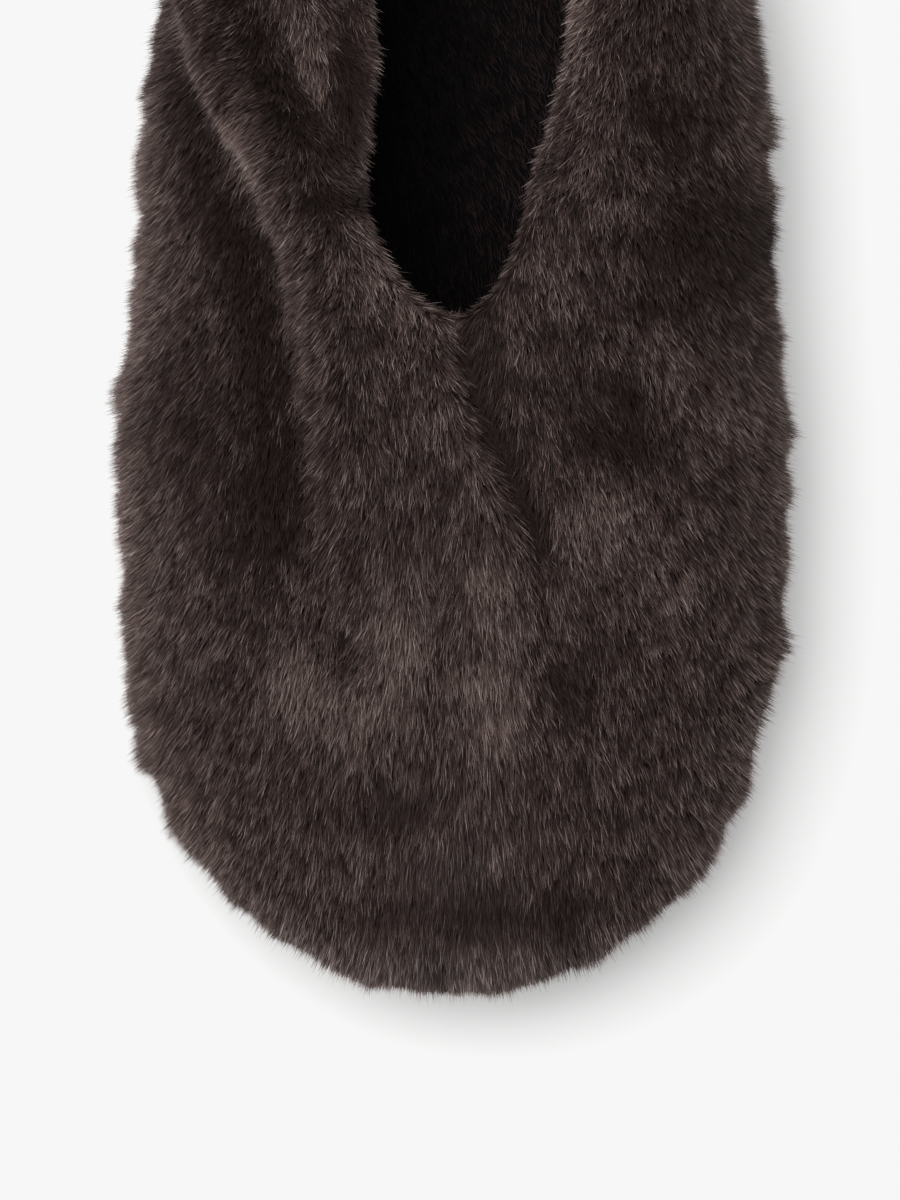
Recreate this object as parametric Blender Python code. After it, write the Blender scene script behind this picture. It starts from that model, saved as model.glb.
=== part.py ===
"""Slipper sock in deep fur: a hollow upper with locks, a soft sole and a padded insole.

The shoe stands on the floor at Z = 0, toe towards -Y, with its origin under the middle of its length.
Sizes are in millimetres, and become metres where a mesh is made.
"""

import bisect
import math
import random
from collections import namedtuple

import bmesh
import bpy
from mathutils import Vector

MM = 0.001

# The cloth form, without its fur
CLOTH_LENGTH = 248.0
BALL_HALF_WIDTH = 52.6
TOE_ROUND = 60.0
HEEL_ROUND = 43.0
WALL = 2.4

# The fur: a dense body, drawn out to locks that lean with the nap
PILE_BODY = 3.6
LOCK_RISE = 2.4
LOCK_LEAN = 4.4
LOCK_OVERHANG = 1.25
LOCK_SWAY = 0.25
LOCK_SPREAD = 0.25
LOCK_SEED = 7
FULL_LOCK_HALF_WIDTH = 2.6
COLLAR_COMBED_IN = 12.0
FLANK_SPREAD = 0.4
NAP_FALL = 0.25
LOW_NAP_FALL = 3.0
LOW_NAP_HEIGHT = 24.0
HEEL_NAP_START = 198.0

# The sole and the insole on it
SOLE_THICK = 4.0
SOLE_EDGE_ROUND = 1.2
INSOLE_THICK = 4.2
INSOLE_EDGE_ROUND = 1.4
GAP = 0.3
TOE_SPRING = 3.0
TOE_SPRING_END = 46.0
ARCH_RISE = 1.6
ARCH_START, ARCH_END = 112.0, 178.0
SPINE_FRONT, SPINE_BACK = -85.0, 95.0
FLAT_MIDDLE = 0.55
BEVEL_SHARE = 0.3

# How the wall ends over the sole's rim, and how far the fur hangs past it
TUCK_ANGLE = math.radians(55.0)
SOLE_UNDERLAP = 0.8
INSOLE_CLEARANCE = 0.8
SKIRT_CLEARANCE = 1.4

# Mesh divisions: ribs round the foot, rows up the wall
RIBS = 88
PLATE_RIBS = 60
ROWS_UNDER, ROWS_OVER, ROWS_INSIDE, ROWS_ROLL = 3, 13, 8, 3

# Steps over which directions are measured, in ribs and in radians, and how near points are joined, in metres
RIB_STEP = 0.25
ANGLE_STEP = 0.02
EDGE_STEP = 0.1
JOIN = 1e-6

# Half widths of the widest outline, as a share of the ball's
Width = namedtuple("Width", "from_toe share")
WIDTHS = (
    Width(0.0, 0.985),
    Width(60.0, 0.985),
    Width(92.0, 1.000),
    Width(121.0, 0.950),
    Width(149.0, 0.920),
    Width(170.0, 0.870),
    Width(200.0, 0.780),
    Width(248.0, 0.690),
)

# The collar's edge seen from above, and its height over the floor
Collar = namedtuple("Collar", "from_toe left right height")
COLLAR_FRONT, COLLAR_BACK = 111.5, 237.5
COLLAR_FRONT_ROUND, COLLAR_BACK_ROUND = 25.0, 22.0
COLLAR = (
    Collar(111.5, 14.5, 13.0, 50.0),
    Collar(132.0, 17.0, 14.0, 47.5),
    Collar(143.0, 17.0, 17.0, 46.5),
    Collar(154.0, 15.5, 20.0, 46.0),
    Collar(170.0, 15.6, 22.0, 46.0),
    Collar(200.0, 20.0, 23.0, 49.5),
    Collar(237.5, 21.0, 21.0, 57.0),
)

# Ribs of the wall, by their share of each half round from toe to heel: where they meet the collar,
# how high they are widest and how far in they end under the foot
Rib = namedtuple("Rib", "on_outline on_collar widest_height tuck")
RIB_TABLE = (
    Rib(0.00, 0.00, 15.0, 8.0),
    Rib(0.20, 0.07, 15.5, 8.0),
    Rib(0.36, 0.20, 16.0, 8.0),
    Rib(0.55, 0.46, 16.0, 10.0),
    Rib(0.70, 0.66, 16.5, 10.0),
    Rib(0.85, 0.84, 17.5, 8.0),
    Rib(1.00, 1.00, 19.0, 8.0),
)

# Soft folds of the empty upper: their run seen from above, reach to each side and height, and how fast
# they grow above the widest line
Fold = namedtuple("Fold", "path left_reach right_reach height")
FOLD_FADE = 1.5
FOLDS = (
    # the roll that slumps over the left flank
    Fold(((-43, 80), (-41, 52), (-37.5, 33), (-31, 20), (-26, 8), (-22, -8), (-18.5, -36)), 3.5, 7.0, 4.8),
    # the trough at the foot of that roll
    Fold(((-47, 60), (-42, 32), (-34, 16), (-29, 0), (-26, -20), (-23, -50), (-17, -67)), 7.0, 3.0, -3.2),
    # the valley between the roll and the left collar
    Fold(((-33, 58), (-28, 32), (-22, 22), (-17.5, 13), (-15, 9)), 3.5, 4.5, -3.6),
    # the crease that runs down the vamp from the point of the collar
    Fold(((1, -13), (3.5, -20), (7, -30), (15, -47), (20, -58)), 3.5, 4.5, -2.8),
    # the ridge beside that crease
    Fold(((-5, -12), (2, -33), (11, -52)), 5.0, 3.5, 1.6),
    # the full roll along the right collar and the dent outside it
    Fold(((24, 60), (23, 30), (19, 10), (13, -4)), 7.0, 6.0, 1.6),
    Fold(((34, 34), (37, 23), (42, 8)), 7.0, 7.0, -2.8),
)

# Colours of the finishes, with how rough each is
Finish = namedtuple("Finish", "name colour roughness")
FUR = Finish("fur", (0.040, 0.026, 0.024, 1.0), 0.6)
SOLE_CLOTH = Finish("sole_cloth", (0.030, 0.022, 0.020, 1.0), 0.8)
LINING = Finish("lining", (0.010, 0.009, 0.010, 1.0), 0.9)


def clear_scene():
    """Empties the scene that Blender starts with."""
    for obj in list(bpy.data.objects):
        bpy.data.objects.remove(obj, do_unlink=True)


def clamp(value, low=0.0, high=1.0):
    return min(max(value, low), high)


def smooth(table, column, at):
    """Reads a column of a table at a place of its first column, on a smooth curve through the rows."""
    places = [row[0] for row in table]
    values = [getattr(row, column) for row in table]
    at = clamp(at, places[0], places[-1])
    last = len(table) - 1
    k = next(i for i in range(last) if at <= places[i + 1])
    span = places[k + 1] - places[k]
    share = (at - places[k]) / span
    slopes = []
    for i in (k, k + 1):
        before, after = max(i - 1, 0), min(i + 1, last)
        slopes.append((values[after] - values[before]) / (places[after] - places[before]) * span)
    s2, s3 = share**2, share**3
    height = values[k] * (2 * s3 - 3 * s2 + 1) + values[k + 1] * (3 * s2 - 2 * s3)
    return height + slopes[0] * (s3 - 2 * s2 + share) + slopes[1] * (s3 - s2)


def rounded_ends(at, start, end, start_round, end_round):
    """A factor that closes a half width with an ellipse at each end."""
    front = clamp((at - start) / start_round)
    back = clamp((end - at) / end_round)
    return math.sqrt(1 - (1 - front) ** 2) * math.sqrt(1 - (1 - back) ** 2)


def ground(from_toe):
    """Height of the sole's underside: toe spring, a flat forefoot, the arch and a flat heel."""
    lift = TOE_SPRING * max(1 - from_toe / TOE_SPRING_END, 0.0) ** 2
    along = clamp((from_toe - ARCH_START) / (ARCH_END - ARCH_START))
    return lift + ARCH_RISE * math.sin(math.pi * along) ** 2


class HalfRound:
    """One side of a closed outline from toe to heel, read by its share of the way round."""

    SAMPLES = 240

    def __init__(self, half_width, start, end):
        self.points, self.lengths = [], [0.0]
        for k in range(self.SAMPLES + 1):
            from_toe = start + (end - start) * (1 - math.cos(math.pi * k / self.SAMPLES)) / 2
            self.points.append(Vector((half_width(from_toe), from_toe)))
        for a, b in zip(self.points, self.points[1:]):
            self.lengths.append(self.lengths[-1] + (b - a).length)

    def at(self, share):
        """The point there, as a half width and a distance from the toe."""
        wanted = clamp(share) * self.lengths[-1]
        k = clamp(bisect.bisect_right(self.lengths, wanted) - 1, 0, self.SAMPLES - 1)
        step = self.lengths[k + 1] - self.lengths[k]
        return self.points[k].lerp(self.points[k + 1], (wanted - self.lengths[k]) / step)


def outline_half_width(from_toe):
    cap = rounded_ends(from_toe, 0.0, CLOTH_LENGTH, TOE_ROUND, HEEL_ROUND)
    return BALL_HALF_WIDTH * smooth(WIDTHS, "share", from_toe) * cap


def collar_half_width(side, from_toe):
    cap = rounded_ends(from_toe, COLLAR_FRONT, COLLAR_BACK, COLLAR_FRONT_ROUND, COLLAR_BACK_ROUND)
    return smooth(COLLAR, "right" if side > 0 else "left", from_toe) * cap


OUTLINE = HalfRound(outline_half_width, 0.0, CLOTH_LENGTH)
COLLAR_SIDES = {
    1: HalfRound(lambda from_toe: collar_half_width(1, from_toe), COLLAR_FRONT, COLLAR_BACK),
    -1: HalfRound(lambda from_toe: collar_half_width(-1, from_toe), COLLAR_FRONT, COLLAR_BACK),
}


def rib_place(rib):
    """(side, share) of a rib: +1 runs up the right from toe to heel, -1 comes back down the left."""
    turn = 2.0 * (rib % RIBS) / RIBS
    return (1, turn) if turn <= 1 else (-1, 2 - turn)


def on_plan(side, point):
    """A half width and a distance from the toe as X and Y of the frame."""
    return Vector((side * point[0], point[1] - CLOTH_LENGTH / 2))


def outline_point(rib):
    side, share = rib_place(rib)
    return on_plan(side, OUTLINE.at(share))


def inset_point(rib, inset):
    """A point this far in from the outline, square to it."""
    along = outline_point(rib + RIB_STEP) - outline_point(rib - RIB_STEP)
    return outline_point(rib) + Vector((-along.y, along.x)).normalized() * inset


def raised(plan, height):
    """A point of the plan at this height."""
    return Vector((plan.x, plan.y, height))


def tuck(rib):
    """How far in under the foot the wall of this rib ends."""
    return smooth(RIB_TABLE, "tuck", rib_place(rib)[1])


def fold_relief(x, y):
    """How far the folds move the cloth out, or in, at this place seen from above."""
    relief, here = 0.0, Vector((x, y))
    for fold in FOLDS:
        path = [Vector(point) for point in fold.path]
        nearest, along, turn = math.inf, 0.0, 1.0
        for k, (a, b) in enumerate(zip(path, path[1:])):
            run = b - a
            share = clamp((here - a).dot(run) / run.length_squared)
            away = here - a.lerp(b, share)
            if away.length < nearest:
                nearest, along = away.length, (k + share) / (len(path) - 1)
                turn = run.x * away.y - run.y * away.x
        reach = fold.right_reach if turn > 0 else fold.left_reach
        ends = math.sqrt(max(math.sin(math.pi * along), 0.0))
        relief += fold.height * math.exp(-((nearest / reach) ** 2)) * ends
    return relief


def cloth_point(rib, angle):
    """A point of the cloth's middle, from -TUCK_ANGLE under the foot to 90 degrees at the collar."""
    side, share = rib_place(rib)
    floor = ground(OUTLINE.at(share).y)
    widest = floor + smooth(RIB_TABLE, "widest_height", share)
    if angle < 0:
        low = floor + SOLE_THICK + GAP + WALL / 2
        plan = inset_point(rib, tuck(rib) * (1 - math.cos(angle)) / (1 - math.cos(TUCK_ANGLE)))
        return raised(plan, widest + (widest - low) * math.sin(angle) / math.sin(TUCK_ANGLE))
    edge = COLLAR_SIDES[side].at(smooth(RIB_TABLE, "on_collar", share))
    top = smooth(COLLAR, "height", edge.y)
    plan = outline_point(rib).lerp(on_plan(side, edge), 1 - math.cos(angle))
    return raised(plan, widest + (top - widest) * math.sin(angle))


def cloth_normal(rib, angle):
    """The outward direction of the cloth there."""
    up = cloth_point(rib, min(angle + ANGLE_STEP, math.pi / 2)) - cloth_point(rib, angle - ANGLE_STEP)
    onward = cloth_point(rib + RIB_STEP, angle) - cloth_point(rib - RIB_STEP, angle)
    return onward.cross(up).normalized()


def folded(rib, angle, offset):
    """A point this far out from the middle of the folded cloth."""
    middle = cloth_point(rib, angle)
    relief = clamp(FOLD_FADE * math.sin(angle)) * fold_relief(middle.x, middle.y)
    return middle + cloth_normal(rib, angle) * (offset + relief)


def outside_angles(rib):
    """The fur's rows on a rib, from under the foot to the collar; every other rib is half a row higher."""
    stagger = 0.5 * (rib % 2)
    under = [-TUCK_ANGLE * (1 - (k + stagger) / ROWS_UNDER) for k in range(1, ROWS_UNDER)]
    over = [math.pi / 2 * (k + stagger) / ROWS_OVER for k in range(ROWS_OVER)]
    return [-TUCK_ANGLE, *under, *over, math.pi / 2]


def upper_section(rib):
    """The closed section of the wall on a rib: fur outside, roll of the collar, inside, foot of the wall."""
    outside = [folded(rib, angle, WALL / 2 + PILE_BODY) for angle in outside_angles(rib)]
    for point in outside:
        point.z = max(point.z, SKIRT_CLEARANCE)
    top = math.pi / 2
    edge, normal = folded(rib, top, 0.0), cloth_normal(rib, top)
    over = (edge - folded(rib, top - EDGE_STEP, 0.0)).normalized()
    roll = []
    for k in range(1, ROWS_ROLL + 1):
        turn = math.pi * k / (ROWS_ROLL + 1)
        reach = WALL / 2 + PILE_BODY * math.cos(turn / 2) ** 2
        roll.append(edge + normal * reach * math.cos(turn) + over * PILE_BODY * math.sin(turn))
    drop = (top + TUCK_ANGLE) / ROWS_INSIDE
    inside = [folded(rib, top - drop * k, -WALL / 2) for k in range(ROWS_INSIDE + 1)]
    seat = ground(OUTLINE.at(rib_place(rib)[1]).y) + SOLE_THICK + GAP
    foot = [raised(inset_point(rib, tuck(rib) + half), seat) for half in (WALL / 2, -WALL / 2)]
    return outside + roll + inside + foot


def nap_direction(point, normal):
    """The way the fur lies: to the toe and the flanks, down the heel and low walls, in at the collar."""
    from_toe = point.y + CLOTH_LENGTH / 2
    heel = clamp((from_toe - HEEL_NAP_START) / (CLOTH_LENGTH - HEEL_NAP_START))
    low = clamp(1 - point.z / LOW_NAP_HEIGHT)
    across = FLANK_SPREAD * point.x / BALL_HALF_WIDTH
    lie = Vector((across, heel - 1, -NAP_FALL - heel - LOW_NAP_FALL * low))
    mouth = clamp(from_toe, COLLAR_FRONT + COLLAR_FRONT_ROUND, COLLAR_BACK - COLLAR_BACK_ROUND)
    inward = Vector((-point.x, mouth - from_toe, 0.0))
    from_edge = inward.length - collar_half_width(point.x, mouth)
    inward.normalize()
    combed_in = clamp(1 - from_edge / COLLAR_COMBED_IN) * clamp(1 - inward.y)
    lie = lie.lerp(inward, combed_in)
    return (lie - normal * lie.dot(normal)).normalized()


def grid_mesh(columns, rows, place):
    """A closed mesh from a grid that comes round on itself, with its points at place(column, row)."""
    bm = bmesh.new()
    row_of = bm.verts.layers.int.new("row")
    bmesh.ops.create_grid(bm, x_segments=columns, y_segments=rows, size=1.0)
    for vert in bm.verts:
        column = round((vert.co.x + 1) / 2 * columns)
        row = round((vert.co.y + 1) / 2 * rows)
        vert[row_of] = row % rows
        vert.co = place(column % columns, row) * MM
    bmesh.ops.remove_doubles(bm, verts=bm.verts, dist=JOIN)
    bmesh.ops.dissolve_degenerate(bm, edges=bm.edges, dist=JOIN)
    bmesh.ops.recalc_face_normals(bm, faces=bm.faces)
    return bm


def add_object(name, bm, finish):
    """Adds a finished mesh to the shoe."""
    mesh = bpy.data.meshes.new(name)
    bm.to_mesh(mesh)
    bm.free()
    mesh.materials.append(cloth_material(finish))
    SHOE.objects.link(bpy.data.objects.new(name, mesh))


def cloth_material(finish):
    """A plain cloth material in this finish."""
    material = bpy.data.materials.new(finish.name)
    material.use_nodes = True
    shader = material.node_tree.nodes["Principled BSDF"]
    shader.inputs["Base Color"].default_value = finish.colour
    shader.inputs["Roughness"].default_value = finish.roughness
    return material


def draw_out_locks(bm):
    """Draws each cell of the fur's outside and of the collar's roll out to a lock that leans with the nap."""
    chance = random.Random(LOCK_SEED)
    row_of = bm.verts.layers.int["row"]
    last_row = len(outside_angles(0))
    cells = [face for face in bm.faces if all(1 <= vert[row_of] <= last_row for vert in face.verts)]
    tips = bmesh.ops.poke(bm, faces=cells, center_mode="MEAN")["verts"]
    bm.normal_update()
    leans = []
    for tip in tips:
        nap = nap_direction(tip.co / MM, tip.normal)
        across = tip.normal.cross(nap)
        corners = [(edge.other_vert(tip).co - tip.co) / MM for edge in tip.link_edges]
        lean = LOCK_LEAN * chance.uniform(1 - LOCK_SPREAD, 1 + LOCK_SPREAD)
        lean = min(lean, LOCK_OVERHANG * max(corner.dot(nap) for corner in corners))
        half_width = max(corner.dot(across) for corner in corners)
        rise = LOCK_RISE * chance.uniform(1 - LOCK_SPREAD, 1 + LOCK_SPREAD)
        rise *= min(lean / LOCK_LEAN, half_width / FULL_LOCK_HALF_WIDTH, 1.0)
        sway = LOCK_SWAY * chance.uniform(-1, 1) * half_width
        leans.append((tip.normal * rise + nap * lean + across * sway) * MM)
    for tip, lean in zip(tips, leans):
        tip.co += lean
        tip.co.z = max(tip.co.z, SKIRT_CLEARANCE * MM)


def build_upper():
    """The fur upper: one hollow wall, open at the collar and underneath, with its locks."""
    sections = [upper_section(rib) for rib in range(RIBS)]
    rows = len(sections[0])
    bm = grid_mesh(RIBS, rows, lambda column, row: sections[column][row % rows])
    draw_out_locks(bm)
    add_object("upper", bm, FUR)


def plate_section(rib, inset, bottom, thick, edge_round):
    """Half a plate's section on a rib: out along its underside, round its edge and back along its top."""
    edge = inset_point(rib, inset)
    spine = Vector((0.0, clamp(edge.y, SPINE_FRONT, SPINE_BACK)))
    out = (edge - spine).normalized()
    flat = edge - out * edge_round
    middle = spine.lerp(flat, FLAT_MIDDLE)
    bevel, bevel_rise = edge - out * edge_round * BEVEL_SHARE, edge_round * BEVEL_SHARE
    under = [(spine, 0.0), (middle, 0.0), (flat, 0.0), (bevel, bevel_rise), (edge, edge_round)]
    rows = under + [(plan, thick - rise) for plan, rise in reversed(under)]
    return [raised(plan, bottom + ground(plan.y + CLOTH_LENGTH / 2) + rise) for plan, rise in rows]


def build_plate(name, past_wall, bottom, thick, edge_round, finish):
    """A plate on the foot's outline and ground line, its edge this far in from the wall's middle."""
    sections = []
    for column in range(PLATE_RIBS):
        rib = column * RIBS / PLATE_RIBS
        sections.append(plate_section(rib, tuck(rib) + past_wall, bottom, thick, edge_round))
    bm = grid_mesh(PLATE_RIBS, len(sections[0]) - 1, lambda column, row: sections[column][row])
    add_object(name, bm, finish)


def build_sole():
    """The soft sole that closes the upper underneath."""
    build_plate("sole", -SOLE_UNDERLAP, 0.0, SOLE_THICK, SOLE_EDGE_ROUND, SOLE_CLOTH)


def build_insole():
    """The padded insole that lies on the sole, inside the upper."""
    inset = WALL / 2 + INSOLE_CLEARANCE
    build_plate("insole", inset, SOLE_THICK + GAP, INSOLE_THICK, INSOLE_EDGE_ROUND, LINING)


clear_scene()
SHOE = bpy.data.collections.new("slipper_sock")
bpy.context.scene.collection.children.link(SHOE)
build_sole()
build_insole()
build_upper()
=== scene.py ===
"""Looks of the slipper sock: the deep fur on its backing, the lining, the padded insole and the soft sole.

Sizes are in millimetres in the part's own frame, with the toe towards -Y and the floor at Z = 0.
They become metres where a mesh is made.
"""

import logging
import math
from dataclasses import dataclass
from enum import Enum
from functools import partial
from typing import Any, Callable, NamedTuple, Sequence

import bmesh
import bpy
import numpy as np
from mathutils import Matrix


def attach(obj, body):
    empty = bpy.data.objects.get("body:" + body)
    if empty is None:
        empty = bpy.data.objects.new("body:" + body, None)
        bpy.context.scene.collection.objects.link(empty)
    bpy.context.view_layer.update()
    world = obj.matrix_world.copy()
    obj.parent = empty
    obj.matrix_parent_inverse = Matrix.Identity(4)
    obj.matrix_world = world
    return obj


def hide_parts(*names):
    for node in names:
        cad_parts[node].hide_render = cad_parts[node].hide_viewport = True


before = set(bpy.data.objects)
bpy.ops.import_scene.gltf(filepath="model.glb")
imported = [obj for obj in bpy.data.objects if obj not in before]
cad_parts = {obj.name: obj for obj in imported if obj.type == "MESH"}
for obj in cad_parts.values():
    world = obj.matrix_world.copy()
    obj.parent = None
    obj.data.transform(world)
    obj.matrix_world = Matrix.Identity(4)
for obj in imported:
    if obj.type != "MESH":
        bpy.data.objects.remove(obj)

MM = 0.001
BODY = "root"
BAKE_MAP = "OFBake"
SHORTEST = 1e-9
Array = np.ndarray
Colour = tuple[float, float, float, float]
Piece = bpy.types.Object
Socket = bpy.types.NodeSocket
Sockets = dict[str, Socket]
SocketKinds = tuple[tuple[str, str], ...]
WHITE: Colour = (1.0, 1.0, 1.0, 1.0)
log = logging.getLogger("slipper_sock")


class Slot(Enum):
    """The record's material slots."""

    FUR = "fur"
    SOLE = "sole_cloth"
    LINING = "lining"


class Width(NamedTuple):
    """Half width of the widest outline, as a share of the ball's."""

    from_toe: float
    share: float


class Collar(NamedTuple):
    """The collar's edge seen from above, to the left and right of the middle, and its height."""

    from_toe: float
    left: float
    right: float
    height: float


class Rib(NamedTuple):
    """A rib of the wall: where it meets the collar, how high it is widest, how far in it ends underneath."""

    on_outline: float
    on_collar: float
    widest_height: float
    tuck: float


class Crease(NamedTuple):
    """A soft trough or ridge, or a dark line of painted shade or a light line of painted highlight.

    It has its run seen from above, its reach to each side, and its height or its change of tint.
    """

    path: tuple[tuple[float, float], ...]
    left_reach: float
    right_reach: float
    height: float


class Patch(NamedTuple):
    """A place where the fur is lighter with painted sheen, longer or combed to the right.

    With an amount below zero it is darker with painted shade, shorter or combed to the left.
    """

    x: float
    y: float
    reach_x: float
    reach_y: float
    amount: float


WIDTHS = (
    Width(0.0, 0.985),
    Width(60.0, 0.985),
    Width(92.0, 1.000),
    Width(121.0, 0.950),
    Width(149.0, 0.920),
    Width(170.0, 0.870),
    Width(200.0, 0.780),
    Width(248.0, 0.690),
)

COLLAR = (
    Collar(111.5, 14.5, 13.0, 50.0),
    Collar(132.0, 17.0, 14.0, 47.5),
    Collar(143.0, 17.0, 17.0, 46.5),
    Collar(154.0, 15.5, 20.0, 46.0),
    Collar(170.0, 15.6, 22.0, 46.0),
    Collar(200.0, 20.0, 23.0, 49.5),
    Collar(237.5, 21.0, 21.0, 57.0),
)

RIBS = (
    Rib(0.00, 0.00, 15.0, 8.0),
    Rib(0.20, 0.07, 15.5, 8.0),
    Rib(0.36, 0.20, 16.0, 8.0),
    Rib(0.55, 0.46, 16.0, 10.0),
    Rib(0.70, 0.66, 16.5, 10.0),
    Rib(0.85, 0.84, 17.5, 8.0),
    Rib(1.00, 1.00, 19.0, 8.0),
)

CREASES = (
    # the roll that slumps over the left flank, the shadow at its foot and the valley behind it
    Crease(((-43, 88), (-42, 62), (-39.8, 46), (-37.3, 33), (-35.2, 26), (-29.5, 18), (-27, 11), (-23.5, 0),
            (-21, -12), (-19, -24), (-18, -40)), 2.6, 6.0, 5.6),
    Crease(((-37, 66), (-34.5, 46), (-31, 33), (-28, 26), (-24, 19), (-21.5, 11), (-18, 0)), 3.5, 3.5, 2.8),
    Crease(((-49, 70), (-45, 46), (-42.3, 33), (-39.5, 25), (-34.7, 18), (-32.5, 11), (-29, 0), (-27, -12),
            (-24.5, -30), (-23, -52), (-17, -67)), 7.0, 2.2, -4.4),
    Crease(((-34, 62), (-32, 42), (-27.5, 32), (-23.5, 25), (-20, 18), (-17.5, 13), (-15, 9)),
           3.0, 4.0, -5.0),
    # the pit where that valley meets the collar, and the groove along the left collar
    Crease(((-24, 13), (-20, 11), (-16, 9)), 4.0, 4.0, -2.0),
    Crease(((-20.5, 66), (-19.6, 42), (-18.8, 22)), 2.2, 2.2, -2.4),
    # the seam at the point of the collar, the crease down the vamp from it and the ridge beside that
    Crease(((0, -8), (0.5, -12), (1, -18)), 2.5, 2.5, -3.0),
    Crease(((0.5, -13), (2.5, -20), (5.5, -29), (9.5, -38), (13, -45), (17, -54)), 2.2, 3.0, -2.2),
    Crease(((-5, -12), (-3, -22), (0.5, -32), (5, -42), (9, -50)), 5.0, 3.0, 1.2),
    # the full roll along the right collar and the dent outside it
    Crease(((24, 60), (23, 30), (19, 10), (13, -4), (5, -11)), 7.0, 6.0, 2.0),
    Crease(((34, 34), (37, 23), (42, 8)), 7.0, 7.0, -3.0),
    Crease(((24, -22), (28, -27), (32, -33)), 6.0, 6.0, -2.5),
    # soft hollows of the forefoot and across the toe
    Crease(((-4, -48), (-3, -56), (-3, -64)), 3.5, 3.5, -1.6),
    Crease(((-18, -61), (-18, -66), (-17, -71)), 3.5, 3.5, -2.0),
    Crease(((17, -66), (20, -72), (22, -78)), 5.0, 5.0, -2.0),
    Crease(((-14, -90), (-8, -94), (-2, -95)), 5.0, 5.0, -1.6),
    Crease(((-28, -106), (-10, -109), (8, -109), (22, -106)), 5.0, 7.0, -2.2),
)

# painted sheen where the fur is lighter and painted shade where it is darker
SHEEN_AND_SHADE_PATCHES = (
    Patch(-36.5, 17.0, 3.5, 7.0, 0.55),
    Patch(-8.0, -5.0, 8.0, 5.0, 0.5),
    Patch(-2.5, -12.0, 4.0, 4.0, 0.4),
    Patch(-9.5, -65.0, 6.0, 8.0, 0.55),
    Patch(-26.0, -74.0, 6.0, 7.0, 0.55),
    Patch(-17.0, -79.0, 7.0, 6.0, 0.3),
    Patch(7.0, -76.0, 5.0, 8.0, 0.6),
    Patch(6.0, -58.0, 4.0, 6.0, 0.4),
    Patch(24.0, -46.0, 7.0, 6.0, 0.5),
    Patch(35.0, -20.0, 5.0, 7.0, 0.35),
    Patch(46.0, -27.0, 6.0, 5.0, 0.3),
    Patch(27.0, 12.0, 7.0, 12.0, 0.12),
    Patch(-52.0, -20.0, 10.0, 60.0, 0.12),
    Patch(36.0, -57.0, 7.0, 6.0, 0.25),
    Patch(20.0, 42.0, 4.0, 12.0, 0.3),
    Patch(4.5, -16.0, 3.5, 5.0, -0.5),
    Patch(27.4, -27.0, 7.0, 7.0, -0.5),
    Patch(47.0, 5.0, 10.0, 6.5, -0.6),
    Patch(40.0, -4.0, 10.0, 8.0, -0.25),
    Patch(37.0, 24.0, 7.0, 7.0, -0.35),
    Patch(-46.0, -27.0, 7.0, 14.0, -0.3),
    Patch(-34.0, -44.0, 6.0, 10.0, -0.35),
    Patch(-18.0, -66.0, 3.0, 5.0, -0.4),
    Patch(20.0, -72.0, 5.0, 5.0, -0.4),
    Patch(-8.6, -93.5, 7.0, 5.0, -0.3),
    Patch(7.0, -111.5, 20.0, 5.0, -0.4),
)

SHADE_AND_HIGHLIGHT_LINES = (
    # painted shade at the foot of the roll, in the valley behind it, in the groove along the left collar and
    # in the pit, and painted highlight on the strip between valley and groove
    Crease(((-52, 62), (-48.5, 38), (-44, 24), (-39, 10), (-34.5, -5), (-31.5, -17), (-29, -34), (-25, -52)),
           5.5, 3.0, -0.5),
    Crease(((-36, 46), (-32, 33), (-27.5, 25), (-23.5, 18), (-19, 12.5), (-15, 9)), 2.6, 2.6, -0.5),
    Crease(((-19.5, 44), (-18.8, 28), (-18.4, 16)), 1.7, 1.7, -1.0),
    Crease(((-25.5, 10.5), (-20.5, 9.5), (-15, 8.5)), 2.4, 2.0, -0.9),
    Crease(((-27, 46), (-25, 34), (-21.5, 20)), 2.5, 2.5, 0.4),
    # painted shade in the crease of the vamp and painted highlight along the ridge beside it
    Crease(((0.8, -12), (2.8, -20), (6, -30), (10, -39), (13.5, -46), (16, -51)), 1.6, 2.1, -1.7),
    Crease(((-2.5, -16), (0, -26), (3.5, -35), (7.5, -43)), 2.0, 1.5, 0.4),
    # painted shade in the partings at the toe
    Crease(((-4.2, -116), (-3.9, -127)), 1.3, 1.3, -1.0),
    Crease(((19.5, -113), (20.5, -124)), 1.3, 1.3, -0.8),
)

# where the fur is combed to a side: off the roll, apart along the groove and over the crease of the vamp
COMBS = (
    Patch(-40.0, 46.0, 5.0, 9.0, -0.9),
    Patch(-36.5, 32.0, 5.0, 8.0, -0.9),
    Patch(-32.0, 22.0, 5.0, 7.0, -1.0),
    Patch(-28.0, 13.0, 5.0, 7.0, -0.9),
    Patch(-24.5, 2.0, 5.0, 8.0, -0.8),
    Patch(-21.5, -10.0, 5.0, 8.0, -0.6),
    Patch(-19.0, -24.0, 5.0, 10.0, -0.4),
    Patch(-21.5, 28.0, 2.2, 11.0, -0.6),
    Patch(-15.8, 28.0, 2.2, 11.0, 0.7),
    Patch(3.0, -28.0, 7.0, 14.0, 0.12),
    Patch(10.0, -44.0, 7.0, 12.0, 0.1),
)

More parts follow.
